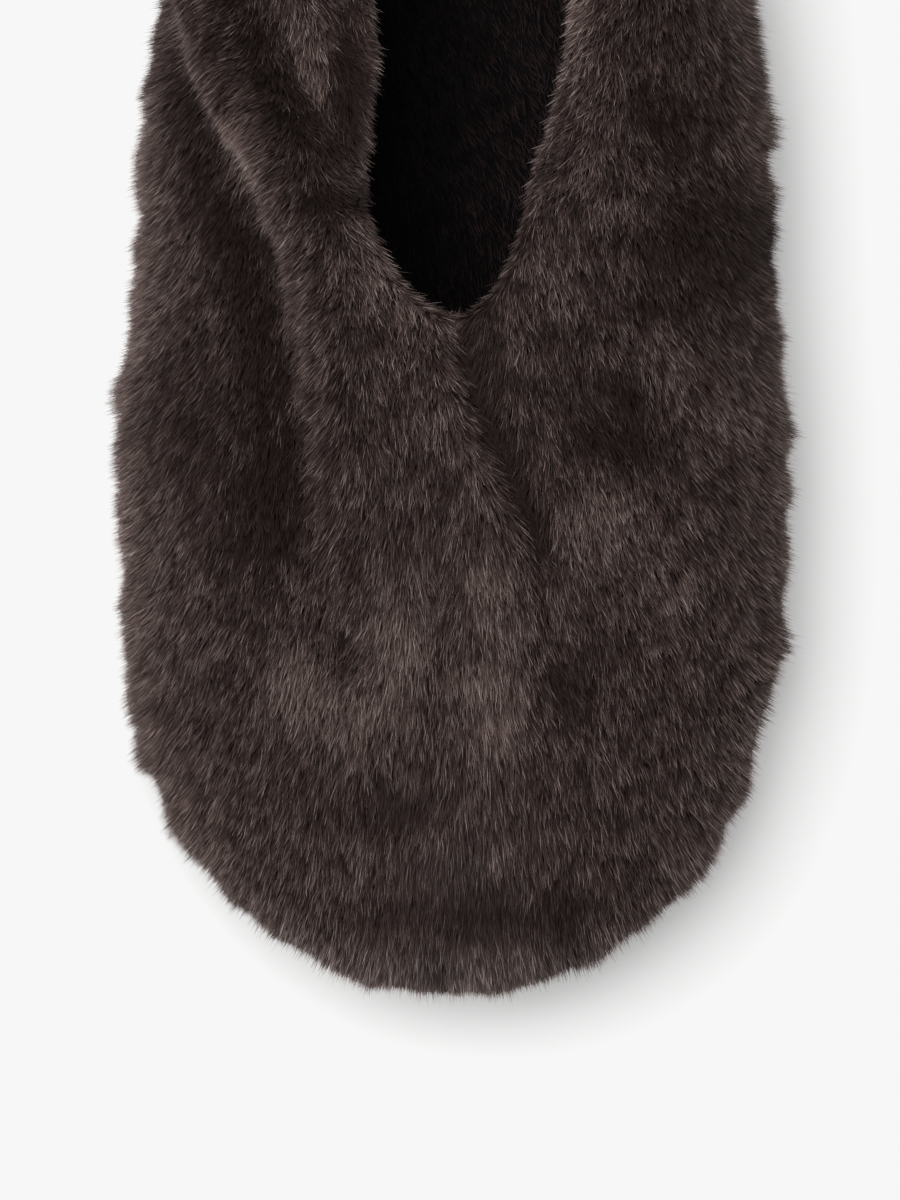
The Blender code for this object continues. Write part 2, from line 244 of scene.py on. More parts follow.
# where the fur is longer or shorter
TUFTS = (
    Patch(-58.0, -29.0, 9.0, 9.0, 0.40),
    Patch(-55.0, -86.0, 11.0, 15.0, 0.32),
    Patch(-57.0, 24.0, 9.0, 9.0, 0.15),
    Patch(56.0, 32.0, 10.0, 24.0, 0.35),
    Patch(55.0, -83.0, 9.0, 9.0, -0.88),
    Patch(-29.0, -119.0, 10.0, 8.0, -0.35),
    Patch(29.0, -119.0, 10.0, 8.0, -0.30),
    Patch(-55.0, 42.0, 8.0, 10.0, -0.25),
    Patch(-49.0, -100.0, 8.0, 8.0, 0.25),
    Patch(0.0, -130.0, 32.0, 8.0, -0.28),
    Patch(-3.9, -122.0, 1.3, 6.0, -0.6),
    Patch(20.0, -119.0, 1.2, 5.0, -0.35),
    Patch(0.0, -8.0, 2.0, 2.0, 0.40),
    Patch(-15.5, 26.0, 4.0, 8.0, 0.55),
)


def column(table: Sequence[NamedTuple], name: str) -> Array:
    """One named column of a table as an array."""
    return np.array([getattr(row, name) for row in table], float)


def smooth(table: Sequence[NamedTuple], name: str, at: Array) -> Array:
    """Reads a column of a table on a smooth curve through its rows.

    Args:
        table: Rows in the order of their first column.
        name: The column to read.
        at: Places on the first column.

    Returns:
        The column's values there.
    """
    places, values = column(table, table[0]._fields[0]), column(table, name)
    index = np.arange(len(table))
    before, after = np.maximum(index - 1, 0), np.minimum(index + 1, len(table) - 1)
    slopes = (values[after] - values[before]) / (places[after] - places[before])
    at = np.clip(at, places[0], places[-1])
    k = np.clip(np.searchsorted(places, at) - 1, 0, len(table) - 2)
    span = places[k + 1] - places[k]
    s = (at - places[k]) / span
    level = values[k] * (2 * s**3 - 3 * s**2 + 1) + values[k + 1] * (3 * s**2 - 2 * s**3)
    return level + span * (slopes[k] * (s**3 - 2 * s**2 + s) + slopes[k + 1] * (s**3 - s**2))


def rounded_ends(at: Array, start: float, end: float, start_round: float, end_round: float) -> Array:
    """A factor that closes a half width with an ellipse at each end.

    Args:
        at: Places along the way.
        start: Where the way starts.
        end: Where it ends.
        start_round: How long the ellipse at the start is.
        end_round: How long the one at the end is.

    Returns:
        A factor from 0 to 1 for each place.
    """
    front = np.clip((at - start) / start_round, 0, 1)
    back = np.clip((end - at) / end_round, 0, 1)
    return np.sqrt(1 - (1 - front) ** 2) * np.sqrt(1 - (1 - back) ** 2)


def unit(vectors: Array) -> Array:
    """The vectors at length one."""
    return vectors / np.maximum(np.linalg.norm(vectors, axis=-1, keepdims=True), SHORTEST)


def progress(at: Array, start: float, end: float) -> Array:
    """How far each place is from a start to an end, from 0 to 1."""
    return np.clip((at - start) / (end - start), 0, 1)


def full_turn(count: int) -> Array:
    """Even turns once round the foot."""
    return np.arange(count) / count


def raised(plan: Array, height: Array) -> Array:
    """Places seen from above, at these heights."""
    return np.concatenate([plan, height[..., None]], -1)


@dataclass
class HalfRound:
    """One side of a closed outline from toe to heel, read by its share of the way round."""

    half_width: Callable[[Array], Array]
    start: float
    end: float
    samples: int = 240

    def __post_init__(self) -> None:
        """Measures the way along the outline."""
        turn = np.linspace(0, np.pi, self.samples + 1)
        self.from_toe = self.start + (self.end - self.start) * (1 - np.cos(turn)) / 2
        self.width = self.half_width(self.from_toe)
        steps = np.hypot(np.diff(self.width), np.diff(self.from_toe))
        run = np.concatenate([[0.0], np.cumsum(steps)])
        self.run = run / run[-1]

    def at(self, share: Array) -> tuple[Array, Array]:
        """The half width and the distance from the toe at each share."""
        return np.interp(share, self.run, self.width), np.interp(share, self.run, self.from_toe)


@dataclass
class SockForm:
    """The cloth form of the sock, as the part has it: ribs round the foot, rising to the collar.

    A place on the cloth is a turn round the foot, from the toe up the right side to the heel and back down
    the left, and an angle, from below zero under the foot to 90 degrees at the collar.
    """

    cloth_length: float = 248.0
    ball_half_width: float = 52.6
    toe_round: float = 60.0
    heel_round: float = 43.0
    wall: float = 2.4
    sole_thick: float = 4.0
    gap: float = 0.3
    toe_spring: float = 3.0
    toe_spring_end: float = 46.0
    arch_rise: float = 1.6
    arch_start: float = 112.0
    arch_end: float = 178.0
    tuck_angle: float = math.radians(55.0)
    rim_angle: float = math.radians(16.0)
    collar_front: float = 111.5
    collar_back: float = 237.5
    collar_front_round: float = 25.0
    collar_back_round: float = 22.0
    turn_step: float = 0.003
    angle_step: float = 0.02
    crease_fade: float = 1.5
    deepest: float = 4.6

    def __post_init__(self) -> None:
        """Lays out the outline and the two sides of the collar."""
        self.half_outline = HalfRound(self.outline_half_width, 0.0, self.cloth_length)
        ends = self.collar_front, self.collar_back
        self.collar_sides = {
            side: HalfRound(partial(self.collar_half_width, side), *ends) for side in (1, -1)
        }

    def outline_half_width(self, from_toe: Array) -> Array:
        """Half width of the widest outline."""
        cap = rounded_ends(from_toe, 0.0, self.cloth_length, self.toe_round, self.heel_round)
        return self.ball_half_width * smooth(WIDTHS, "share", from_toe) * cap

    def collar_half_width(self, side: int, from_toe: Array) -> Array:
        """Half width of the collar on the right (1) or left (-1).

        Args:
            side: The side.
            from_toe: Distances from the toe.

        Returns:
            The half width at each distance.
        """
        rounds = self.collar_front_round, self.collar_back_round
        cap = rounded_ends(from_toe, self.collar_front, self.collar_back, *rounds)
        return smooth(COLLAR, "right" if side > 0 else "left", from_toe) * cap

    def ground(self, from_toe: Array) -> Array:
        """Height of the sole's underside: toe spring, flat forefoot, arch and flat heel.

        Args:
            from_toe: Distances from the toe.

        Returns:
            The height at each distance.
        """
        lift = self.toe_spring * np.maximum(1 - from_toe / self.toe_spring_end, 0) ** 2
        along = progress(from_toe, self.arch_start, self.arch_end)
        return lift + self.arch_rise * np.sin(np.pi * along) ** 2

    @staticmethod
    def place(turn: Array) -> tuple[Array, Array]:
        """The side and the share from toe to heel of each turn."""
        turn = np.mod(turn, 1.0)
        return np.where(turn <= 0.5, 1.0, -1.0), np.where(turn <= 0.5, 2 * turn, 2 - 2 * turn)

    def outline(self, turn: Array) -> Array:
        """Points of the widest outline seen from above.

        Args:
            turn: Turns round the foot.

        Returns:
            A point for each turn.
        """
        side, share = self.place(turn)
        width, from_toe = self.half_outline.at(share)
        return np.stack([side * width, from_toe - self.cloth_length / 2], -1)

    def inset(self, turn: Array, depth: Array) -> Array:
        """Points this far in from the outline, square to it.

        Args:
            turn: Turns round the foot.
            depth: How far in, for each turn.

        Returns:
            A point for each turn, seen from above.
        """
        along = self.outline(turn + self.turn_step) - self.outline(turn - self.turn_step)
        inward = unit(np.stack([-along[..., 1], along[..., 0]], -1))
        return self.outline(turn) + inward * np.asarray(depth)[..., None]

    def tuck(self, turn: Array) -> Array:
        """How far in under the foot the wall ends."""
        return smooth(RIBS, "tuck", self.place(turn)[1])

    def middle(self, turn: Array, angle: Array) -> Array:
        """Points of the middle of the smooth cloth.

        Args:
            turn: Turns round the foot.
            angle: Angles up the wall, of the same shape.

        Returns:
            Points in millimetres, one to each place.
        """
        side, share = self.place(turn)
        width, from_toe = self.half_outline.at(share)
        floor = self.ground(from_toe)
        widest = floor + smooth(RIBS, "widest_height", share)
        low = floor + self.sole_thick + self.gap + self.wall / 2
        under = (1 - np.cos(np.minimum(angle, 0))) / (1 - math.cos(self.tuck_angle))
        below = self.inset(turn, self.tuck(turn) * under)
        drop = (widest - low) * np.sin(np.minimum(angle, 0)) / math.sin(self.tuck_angle)
        on_collar = smooth(RIBS, "on_collar", share)
        right, left = (self.collar_sides[s].at(on_collar) for s in (1, -1))
        edge = [np.where(side > 0, r, l) for r, l in zip(right, left)]
        collar = np.stack([side * edge[0], edge[1] - self.cloth_length / 2], -1)
        top = smooth(COLLAR, "height", edge[1])
        rise = np.maximum(angle, 0)
        plan = below + (collar - self.outline(turn)) * (1 - np.cos(rise))[..., None]
        return raised(plan, widest + drop + (top - widest) * np.sin(rise))

    def normal(self, turn: Array, angle: Array) -> Array:
        """The outward direction of the smooth cloth.

        Args:
            turn: Turns round the foot.
            angle: Angles up the wall, of the same shape.

        Returns:
            A vector of length one for each place.
        """
        high = np.minimum(angle + self.angle_step, math.pi / 2)
        up = self.middle(turn, high) - self.middle(turn, angle - self.angle_step)
        onward = self.middle(turn + self.turn_step, angle) - self.middle(turn - self.turn_step, angle)
        return unit(np.cross(onward, up))

    @staticmethod
    def trace(plan: Array, creases: Sequence[Crease]) -> Array:
        """The sum of the creases' heights at these places seen from above.

        Args:
            plan: The places.
            creases: The creases.

        Returns:
            The sum at each place, fading to the ends of each crease.
        """
        total = np.zeros(plan.shape[:-1])
        for crease in creases:
            path = np.array(crease.path, float)
            nearest = np.full(total.shape, np.inf)
            along, turn = np.zeros(total.shape), np.ones(total.shape)
            for k, (a, b) in enumerate(zip(path, path[1:])):
                run = b - a
                share = np.clip((plan - a) @ run / (run @ run), 0, 1)
                away = plan - a - share[..., None] * run
                far = np.linalg.norm(away, axis=-1)
                closer = far < nearest
                nearest = np.where(closer, far, nearest)
                along = np.where(closer, (k + share) / (len(path) - 1), along)
                turn = np.where(closer, run[0] * away[..., 1] - run[1] * away[..., 0], turn)
            reach = np.where(turn > 0, crease.right_reach, crease.left_reach)
            ends = np.sqrt(np.maximum(np.sin(np.pi * along), 0))
            total += crease.height * np.exp(-((nearest / reach) ** 2)) * ends
        return total

    def cloth(self, turn: Array, angle: Array, offset: float, swell: float = 0.0) -> Array:
        """Points of the creased cloth.

        Args:
            turn: Turns round the foot.
            angle: Angles up the wall, of the same shape.
            offset: How far out from the middle of the cloth.
            swell: How much further out between the floor and the collar's edge, where it fades away.

        Returns:
            Points in millimetres, one to each place.
        """
        middle = self.middle(turn, angle)
        fade = np.clip(self.crease_fade * np.sin(angle), 0, 1)
        out = offset + fade * np.maximum(self.trace(middle[..., :2], CREASES), -self.deepest)
        over_floor = np.clip(1 + angle / self.tuck_angle, 0, 1)
        under_rim = np.clip((np.pi / 2 - angle) / self.rim_angle, 0, 1)
        out = out + swell * over_floor * under_rim
        return middle + self.normal(turn, angle) * out[..., None]

    def rows(self, turns: int, angles: Array, offset: float, swell: float = 0.0) -> Array:
        """Rows of the creased cloth, one to each angle.

        Args:
            turns: Points in each row, once round the foot.
            angles: Angles up the wall.
            offset: How far out from the middle of the cloth.
            swell: How much further out between the floor and the collar's edge.

        Returns:
            Points in millimetres, as rows of turns.
        """
        turn = full_turn(turns)
        return np.array([self.cloth(turn, np.full(turns, angle), offset, swell) for angle in angles])


def sockets(**groups: Sequence[str]) -> SocketKinds:
    """Sockets of a tree in their order, from the names of each type."""
    return tuple((name, "NodeSocket" + kind) for kind, names in groups.items() for name in names)


class Weave:
    """Adds nodes to a tree, one to a call, with their inputs in order."""

    NOISE_MIDDLE = 0.5

    def __init__(self, tree: bpy.types.NodeTree) -> None:
        """Takes the tree that the nodes go into."""
        self.tree = tree

    def add(self, kind: str, *inputs: Any, **settings: Any) -> list[Socket]:
        """Adds a node.

        Args:
            kind: The node's type.
            inputs: A socket to link, a value to set or None to leave, for each input in use.
            settings: The node's own settings.

        Returns:
            The node's outputs in use.
        """
        node = self.tree.nodes.new(kind)
        for name, value in settings.items():
            setattr(node, name, value)
        for socket, value in zip([s for s in node.inputs if s.enabled], inputs):
            if isinstance(value, Socket):
                self.tree.links.new(value, socket)
            elif value is not None:
                socket.default_value = value
        return [s for s in node.outputs if s.enabled]

    def math(self, operation: str, *inputs: Any) -> Socket:
        """One number from others."""
        return self.add("ShaderNodeMath", *inputs, operation=operation)[0]

    def vector(self, operation: str, *inputs: Any) -> Socket:
        """One vector, or number, from vectors."""
        return self.add("ShaderNodeVectorMath", *inputs, operation=operation)[0]

    def product(self, first: Any, *others: Any) -> Socket:
        """Numbers multiplied in their order.

        Args:
            first: The first number.
            others: Those that it is multiplied with.

        Returns:
            The product.
        """
        for other in others:
            first = self.math("MULTIPLY", first, other)
        return first

    def blend(self, share: Any, *colours: Any) -> Socket:
        """A colour between two."""
        return self.add("ShaderNodeMix", share, *colours, data_type="RGBA")[0]

    def span(self, at: Any, start: Any, end: Any) -> Socket:
        """How far a number is from a start to an end, from 0 to 1."""
        return self.add("ShaderNodeMapRange", at, start, end, 0.0, 1.0)[0]

    def attribute(self, name: str, kind: str) -> Socket:
        """Reads a named attribute of the geometry."""
        return self.add("GeometryNodeInputNamedAttribute", name, data_type=kind)[0]

    def store(self, geometry: Any, name: str, kind: str, value: Any, domain: str = "POINT") -> Socket:
        """Keeps a value on the geometry under a name."""
        node = "GeometryNodeStoreNamedAttribute"
        return self.add(node, geometry, True, name, value, data_type=kind, domain=domain)[0]

    def chance(self, low: Any, high: Any, seed: Any, kind: str = "FLOAT") -> Socket:
        """A random value for each point."""
        return self.add("FunctionNodeRandomValue", low, high, None, seed, data_type=kind)[0]

    def noise(self, at: Any, size: float, detail: float = 1.0) -> list[Socket]:
        """A number and a colour that change softly over this many millimetres."""
        return self.add("ShaderNodeTexNoise", at, 1 / (size * MM), detail)

    def wander(self, at: Any, size: float, amount: Any) -> Socket:
        """A vector that changes softly over this many millimetres, from minus to plus the amount.

        Args:
            at: The place to read it at.
            size: The millimetres.
            amount: The amount.

        Returns:
            The vector.
        """
        noise = self.noise(at, size)[1]
        centred = self.vector("SUBTRACT", noise, (self.NOISE_MIDDLE,) * 3)
        return self.vector("SCALE", self.vector("SCALE", centred, 1 / self.NOISE_MIDDLE), amount)


def link(name: str, data: Any) -> Piece:
    """Adds an object with this data to the scene, at the origin.

    Args:
        name: The object's name.
        data: Its mesh, light or camera.

    Returns:
        The object.
    """
    holder = bpy.data.objects.new(name, data)
    bpy.context.scene.collection.objects.link(holder)
    return holder


def add_mesh(name: str, points: Array, faces: Sequence[Sequence[int]], smooth_shaded: bool = True) -> Piece:
    """Adds a mesh to the scene.

    Args:
        name: The object's name.
        points: Points in millimetres.
        faces: Point numbers of each face.
        smooth_shaded: Whether its faces shade as one surface.

    Returns:
        The object, at the origin.
    """
    mesh = bpy.data.meshes.new(name)
    mesh.from_pydata((points * MM).tolist(), [], faces)
    mesh.polygons.foreach_set("use_smooth", [smooth_shaded] * len(mesh.polygons))
    mesh.update()
    return link(name, mesh)


def ring_faces(rows: int, turns: int, closed: bool) -> Array:
    """Faces of a grid of rows that each come round on themselves, as point numbers.

    Args:
        rows: Rows of points.
        turns: Points in each row.
        closed: Whether the last row joins the first.

    Returns:
        Four point numbers for each face, row by row.
    """
    row, turn = np.meshgrid(np.arange(rows if closed else rows - 1), np.arange(turns), indexing="ij")
    above, beside = (row + 1) % rows, (turn + 1) % turns
    corners = (row * turns + turn, row * turns + beside, above * turns + beside, above * turns + turn)
    return np.stack(corners, -1).reshape(-1, 4)


def add_rings(name: str, rows: Array, closed: bool) -> Piece:
    """Adds a mesh of rows of turns, with the last row joined to the first where it is closed."""
    faces = ring_faces(len(rows), rows.shape[1], closed)
    return add_mesh(name, rows.reshape(-1, 3), faces.tolist())


def keep(piece: Piece, name: str, values: Any) -> None:
    """Keeps a number or a vector for each of a mesh's points under a name.

    Args:
        piece: The mesh's object.
        name: The name.
        values: The numbers or vectors, in the points' order.
    """
    values = np.asarray(values, float)
    vectors = values.size == 3 * len(piece.data.vertices)
    kind, entry = ("FLOAT_VECTOR", "vector") if vectors else ("FLOAT", "value")
    piece.data.attributes.new(name, kind, "POINT").data.foreach_set(entry, values.ravel())


def new_tree(name: str, kind: str, inputs: SocketKinds, outputs: SocketKinds) -> tuple[Weave, Sockets]:
    """Adds an empty node tree with named sockets.

    Args:
        name: The tree's name.
        kind: Its type.
        inputs: Names and types of its inputs.
        outputs: Names and types of its outputs.

    Returns:
        The tree's nodes, and its inputs by name.
    """
    tree = bpy.data.node_groups.new(name, kind)
    for way, group in (("INPUT", inputs), ("OUTPUT", outputs)):
        for socket, socket_kind in group:
            tree.interface.new_socket(socket, in_out=way, socket_type=socket_kind)
    w = Weave(tree)
    return w, {socket.name: socket for socket in w.add("NodeGroupInput")}


def run_tree(tree: bpy.types.NodeTree, carrier: Piece, name: str, values: dict[str, Any]) -> Piece:
    """Runs a Geometry Nodes tree on a carrier and removes the carrier.

    Args:
        tree: The tree.
        carrier: The object whose mesh it starts from.
        name: The new piece's name.
        values: The tree's inputs by name.

    Returns:
        The piece, a plain mesh.
    """
    modifier = carrier.modifiers.new(tree.name, "NODES")
    modifier.node_group = tree
    for item in tree.interface.items_tree:
        if item.in_out == "INPUT" and item.name in values:
            modifier[item.identifier] = values[item.name]
    graph = bpy.context.evaluated_depsgraph_get()
    mesh = bpy.data.meshes.new_from_object(carrier.evaluated_get(graph), depsgraph=graph)
    mesh.name = name
    bpy.data.objects.remove(carrier, do_unlink=True)
    return link(name, mesh)


@dataclass(frozen=True)
class Pile:
    """How one kind of pile grows: its sizes in millimetres, how freely it lies and how much it is trimmed."""

    per_square_mm: float
    length: float
    half_width: float
    rise: float
    lean: float
    sway: float
    tuft: float
    tuft_pull: float
    seed: int
    finish: "StrandFinish"
    trim: float = 1.0


class StrandTree:
    """A Geometry Nodes tree that grows tapered strands on a surface, along its nap and drawn into tufts."""

    INPUTS = sockets(
        Geometry=["Geometry"],
        Float=["Density", "Length", "Half Width", "Rise", "Lean", "Sway", "Tuft Scale", "Tuft Pull"],
        Int=["Seed"],
        Object=["Strand"],
        Material=["Finish"],
    )
    SCAFFOLD = (
        "root", "up", "stray", "long", "stand", "roll", "shade", "along", "side",
        "nap", "thick", "pile", "lean", "rise", "lift", "tint",
    )
    STRAND = ((0.0, -1.0), (0.0, 1.0), (1.0, 0.0))
    SINK = 0.4
    FLOOR_CLEARANCE = 0.2
    SWIRL_SIZE, LOCK_SIZE, MOTTLE_SIZE, STREAK_SIZE = 26.0, 6.0, 5.0, 1.5
    MOTTLE, STREAK, SPECKLE, STRAY = 0.9, 1.1, 0.42, 0.3
    MOTTLE_DETAIL = 2.0
    TINT_LIMITS = (0.02, 0.98)
    LONG, STAND, ROLL = (0.65, 1.15), (0.75, 1.2), (-0.8, 0.8)
    RISE_EARLY, RISE_LATE = 1.5, 0.5
    LEAN_EARLY, LEAN_LATE = 0.55, 0.45
    LENGTH_SIZE, LENGTH_CHANGE = 5.5, 0.7
    STREAK_SQUASH = (1.0, 0.28, 1.0)
    MAP_HALF_WIDTH = 0.004

    def __init__(self) -> None:
        """Builds the tree and the strand that it repeats."""
        corners = np.array([(side, along, 0.0) for along, side in self.STRAND])
        self.strand = add_mesh("strand", corners, [(0, 1, 2)])
        for name, values in zip(("along", "side"), zip(*self.STRAND)):
            keep(self.strand, name, values)
        w, given = new_tree("fur_strands", "GeometryNodeTree", self.INPUTS, self.INPUTS[:1])
        self.tree = w.tree
        self.tree.is_modifier = True
        strands = self.scatter(w, given)
        strands = w.add("GeometryNodeSetPosition", strands, True, self.bend(w, given))[0]
        strands = w.store(strands, BAKE_MAP, "FLOAT2", self.tint(w), "CORNER")
        strands = w.add("GeometryNodeSetShadeSmooth", strands, True, True)[0]
        strands = w.add("GeometryNodeSetMaterial", strands, True, given["Finish"])[0]
        w.add("NodeGroupOutput", strands)

    def scatter(self, w: Weave, given: Sockets) -> Socket:
        """Scatters roots that keep their place and their chances, and sets a strand at each.

        Args:
            w: The tree's nodes.
            given: The tree's inputs by name.

        Returns:
            The strands as one mesh, still unbent.
        """
        seed = given["Seed"]
        density = w.math("MULTIPLY", given["Density"], w.attribute("thick", "FLOAT"))
        points, up = w.add("GeometryNodeDistributePointsOnFaces", given["Geometry"], True, density, seed)[:2]
        points = w.store(points, "root", "FLOAT_VECTOR", w.add("GeometryNodeInputPosition")[0])
        lifted = w.add("ShaderNodeCombineXYZ", None, None, w.attribute("lift", "FLOAT"))[0]
        points = w.store(points, "up", "FLOAT_VECTOR", w.vector("NORMALIZE", w.vector("ADD", up, lifted)))
        chances = (
            ("stray", "FLOAT_VECTOR", (-1,) * 3, (1,) * 3),
            ("long", "FLOAT", *self.LONG),
            ("stand", "FLOAT", *self.STAND),
            ("roll", "FLOAT", *self.ROLL),
            ("shade", "FLOAT", -self.SPECKLE, self.SPECKLE),
        )
        for draw, (name, kind, low, high) in enumerate(chances, 1):
            own_seed = w.math("ADD", seed, float(draw))
            points = w.store(points, name, kind, w.chance(low, high, own_seed, kind))
        strand = w.add("GeometryNodeObjectInfo", given["Strand"])[-1]
        strands = w.add("GeometryNodeInstanceOnPoints", points, True, strand)[0]
        return w.add("GeometryNodeRealizeInstances", strands)[0]

    def lie(self, w: Weave, given: Sockets, root: Socket, up: Socket) -> Socket:
        """The way a strand lies: along its nap, in swirls and locks, with a little chance.

        Args:
            w: The tree's nodes.
            given: The tree's inputs by name.
            root: Each strand's root.
            up: The way out of the surface at each root.

        Returns:
            A vector of length one, along the surface.
        """
        lie = w.attribute("nap", "FLOAT_VECTOR")
        for size in (self.SWIRL_SIZE, self.LOCK_SIZE):
            lie = w.vector("ADD", lie, w.wander(root, size, given["Sway"]))
        lie = w.vector("ADD", lie, w.vector("SCALE", w.attribute("stray", "FLOAT_VECTOR"), self.STRAY))
        return w.vector("NORMALIZE", self.flatten(w, lie, up))

    def length(self, w: Weave, given: Sockets, root: Socket) -> Socket:
        """How long a strand is, uneven from lock to lock.

        Args:
            w: The tree's nodes.
            given: The tree's inputs by name.
            root: Each strand's root.

        Returns:
            The length in metres.
        """
        uneven = w.noise(root, self.LENGTH_SIZE)[0]
        uneven = w.math("MULTIPLY_ADD", uneven, self.LENGTH_CHANGE, 1 - self.LENGTH_CHANGE / 2)
        return w.product(given["Length"], w.attribute("pile", "FLOAT"), w.attribute("long", "FLOAT"), uneven)

    def bend(self, w: Weave, given: Sockets) -> Socket:
        """Where a strand's points go: up from the root, over along the nap and in to its tuft.

        Args:
            w: The tree's nodes.
            given: The tree's inputs by name.

        Returns:
            The place of each point, never below the floor.
        """
        root, up = (w.attribute(name, "FLOAT_VECTOR") for name in ("root", "up"))
        along, side = (w.attribute(name, "FLOAT") for name in ("along", "side"))
        lie, length = self.lie(w, given, root, up), self.length(w, given, root)
        squared = w.math("MULTIPLY", along, along)
        early, late = w.math("MULTIPLY", along, self.RISE_EARLY), w.math("MULTIPLY", squared, self.RISE_LATE)
        rise = w.product(length, given["Rise"], w.attribute("stand", "FLOAT"), w.attribute("rise", "FLOAT"))
        height = w.product(w.math("SUBTRACT", early, late), rise)
        height = w.math("SUBTRACT", height, self.SINK * MM)
        early, late = w.math("MULTIPLY", along, self.LEAN_EARLY), w.math("MULTIPLY", squared, self.LEAN_LATE)
        reach = w.math("ADD", early, late)
        reach = w.product(reach, given["Lean"], w.attribute("lean", "FLOAT"), length)
        centre = w.add("ShaderNodeTexVoronoi", root, given["Tuft Scale"])[2]
        pull = self.flatten(w, w.vector("SUBTRACT", centre, root), up)
        across = w.vector("SCALE", up, w.attribute("roll", "FLOAT"))
        across = w.vector("ADD", w.vector("CROSS_PRODUCT", up, lie), across)
        place = root
        for way, far in (
            (up, height),
            (lie, reach),
            (pull, w.math("MULTIPLY", squared, given["Tuft Pull"])),
            (w.vector("NORMALIZE", across), w.math("MULTIPLY", side, given["Half Width"])),
        ):
            place = w.vector("ADD", place, w.vector("SCALE", way, far))
        x, y, z = w.add("ShaderNodeSeparateXYZ", place)
        return w.add("ShaderNodeCombineXYZ", x, y, w.math("MAXIMUM", z, self.FLOOR_CLEARANCE * MM))[0]

    def tint(self, w: Weave) -> Socket:
        """A strand's place on the map of its finish: its tint across, and root to tip along.

        Args:
            w: The tree's nodes.

        Returns:
            The place of each point on the map.
        """
        root = w.attribute("root", "FLOAT_VECTOR")
        mottle = w.noise(root, self.MOTTLE_SIZE, self.MOTTLE_DETAIL)[0]
        streak = w.noise(w.vector("MULTIPLY", root, self.STREAK_SQUASH), self.STREAK_SIZE)[0]
        # the kept tint holds the painted sheen, painted shade and painted edge light; the noises and each
        # strand's chance add tone that differs at random
        tint = w.attribute("tint", "FLOAT")
        for noise, amount in ((mottle, self.MOTTLE), (streak, self.STREAK)):
            tint = w.math("MULTIPLY_ADD", w.math("SUBTRACT", noise, w.NOISE_MIDDLE), amount, tint)
        tint = w.math("ADD", tint, w.attribute("shade", "FLOAT"))
        tint = w.add("ShaderNodeClamp", tint, *self.TINT_LIMITS)[0]
        tint = w.math("ADD", tint, w.math("MULTIPLY", w.attribute("side", "FLOAT"), self.MAP_HALF_WIDTH))
        return w.add("ShaderNodeCombineXYZ", tint, w.attribute("along", "FLOAT"))[0]

    @staticmethod
    def flatten(w: Weave, vector: Any, up: Any) -> Socket:
        """The part of a vector that lies along the surface."""
        return w.vector("SUBTRACT", vector, w.vector("SCALE", up, w.vector("DOT_PRODUCT", vector, up)))

    def grow(self, name: str, ground: Piece, pile: Pile) -> Piece:
        """Grows a pile on a surface that carries its nap, pile and tint, and removes that surface.

        Args:
            name: The new piece's name.
            ground: The surface.
            pile: The pile's sizes and finish.

        Returns:
            The piece, a plain mesh.
        """
        values = {
            "Density": pile.per_square_mm / MM**2,
            "Length": pile.length * MM,
            "Half Width": pile.half_width * MM,
            "Rise": pile.rise,
            "Lean": pile.lean,
            "Sway": pile.sway,
            "Tuft Scale": 1 / (pile.tuft * MM),
            "Tuft Pull": pile.tuft_pull,
            "Seed": pile.seed,
            "Strand": self.strand,
            "Finish": pile.finish.make(),
        }
        piece = run_tree(self.tree, ground, name, values)
        for attribute in self.SCAFFOLD:
            piece.data.attributes.remove(piece.data.attributes[attribute])
        return piece

    def put_away(self) -> None:
        """Removes the single strand once nothing more grows."""
        bpy.data.objects.remove(self.strand, do_unlink=True)


def new_material(name: str) -> tuple[bpy.types.Material, Weave, Sockets]:
    """An empty finish: the material, its nodes and the shader's inputs by name.

    Args:
        name: The material's name.

    Returns:
        The material, its nodes and the shader's inputs.
    """
    material = bpy.data.materials.new(name)
    material.use_nodes = True
    shader = material.node_tree.nodes["Principled BSDF"]
    return material, Weave(material.node_tree), {socket.name: socket for socket in shader.inputs}


class SharedEffect:
    """A shader node group, built once and placed in each material with that material's own values."""

    NAME = ""
    INPUTS: SocketKinds = ()
    OUTPUTS: SocketKinds = ()

    @classmethod
    def wire(cls, w: Weave, given: Sockets) -> list[Socket]:
        """Wires the group from its inputs and gives its outputs in order."""
        raise NotImplementedError

    @classmethod
    def place(cls, w: Weave, *values: Any) -> list[Socket]:
        """Places the group in a material.

        Args:
            w: The material's nodes.
            values: A socket or a value for each of the group's inputs, in order.

        Returns:
            The group's outputs.
        """
        tree = bpy.data.node_groups.get(cls.NAME)
        if tree is None:
            inner, given = new_tree(cls.NAME, "ShaderNodeTree", cls.INPUTS, cls.OUTPUTS)
            inner.add("NodeGroupOutput", *cls.wire(inner, given))
            tree = inner.tree
        return w.add("ShaderNodeGroup", *values, node_tree=tree)


class StrandTone(SharedEffect):
    """The colour of a strand from its root to its tip, between a cool and a warm tone."""

    NAME = "strand_tone"
    INPUTS = sockets(
        Float=["Tint", "Along", "Middle", "Rarity"],
        Color=["Cool Root", "Cool Middle", "Cool Tip", "Warm Root", "Warm Middle", "Warm Tip"],
    )
    OUTPUTS = sockets(Color=["Colour"])

    @classmethod
    def wire(cls, w: Weave, given: Sockets) -> list[Socket]:
        """Runs each tone from root to tip, and mixes them by the tint.

        Args:
            w: The group's nodes.
            given: The group's inputs by name.

        Returns:
            The colour.
        """
        lower = w.span(given["Along"], 0.0, given["Middle"])
        upper = w.span(given["Along"], given["Middle"], 1.0)
        tones = []
        for tone in ("Cool", "Warm"):
            shaft = w.blend(lower, given[tone + " Root"], given[tone + " Middle"])
            tones.append(w.blend(upper, shaft, given[tone + " Tip"]))
        return [w.blend(w.math("POWER", given["Tint"], given["Rarity"]), *tones)]


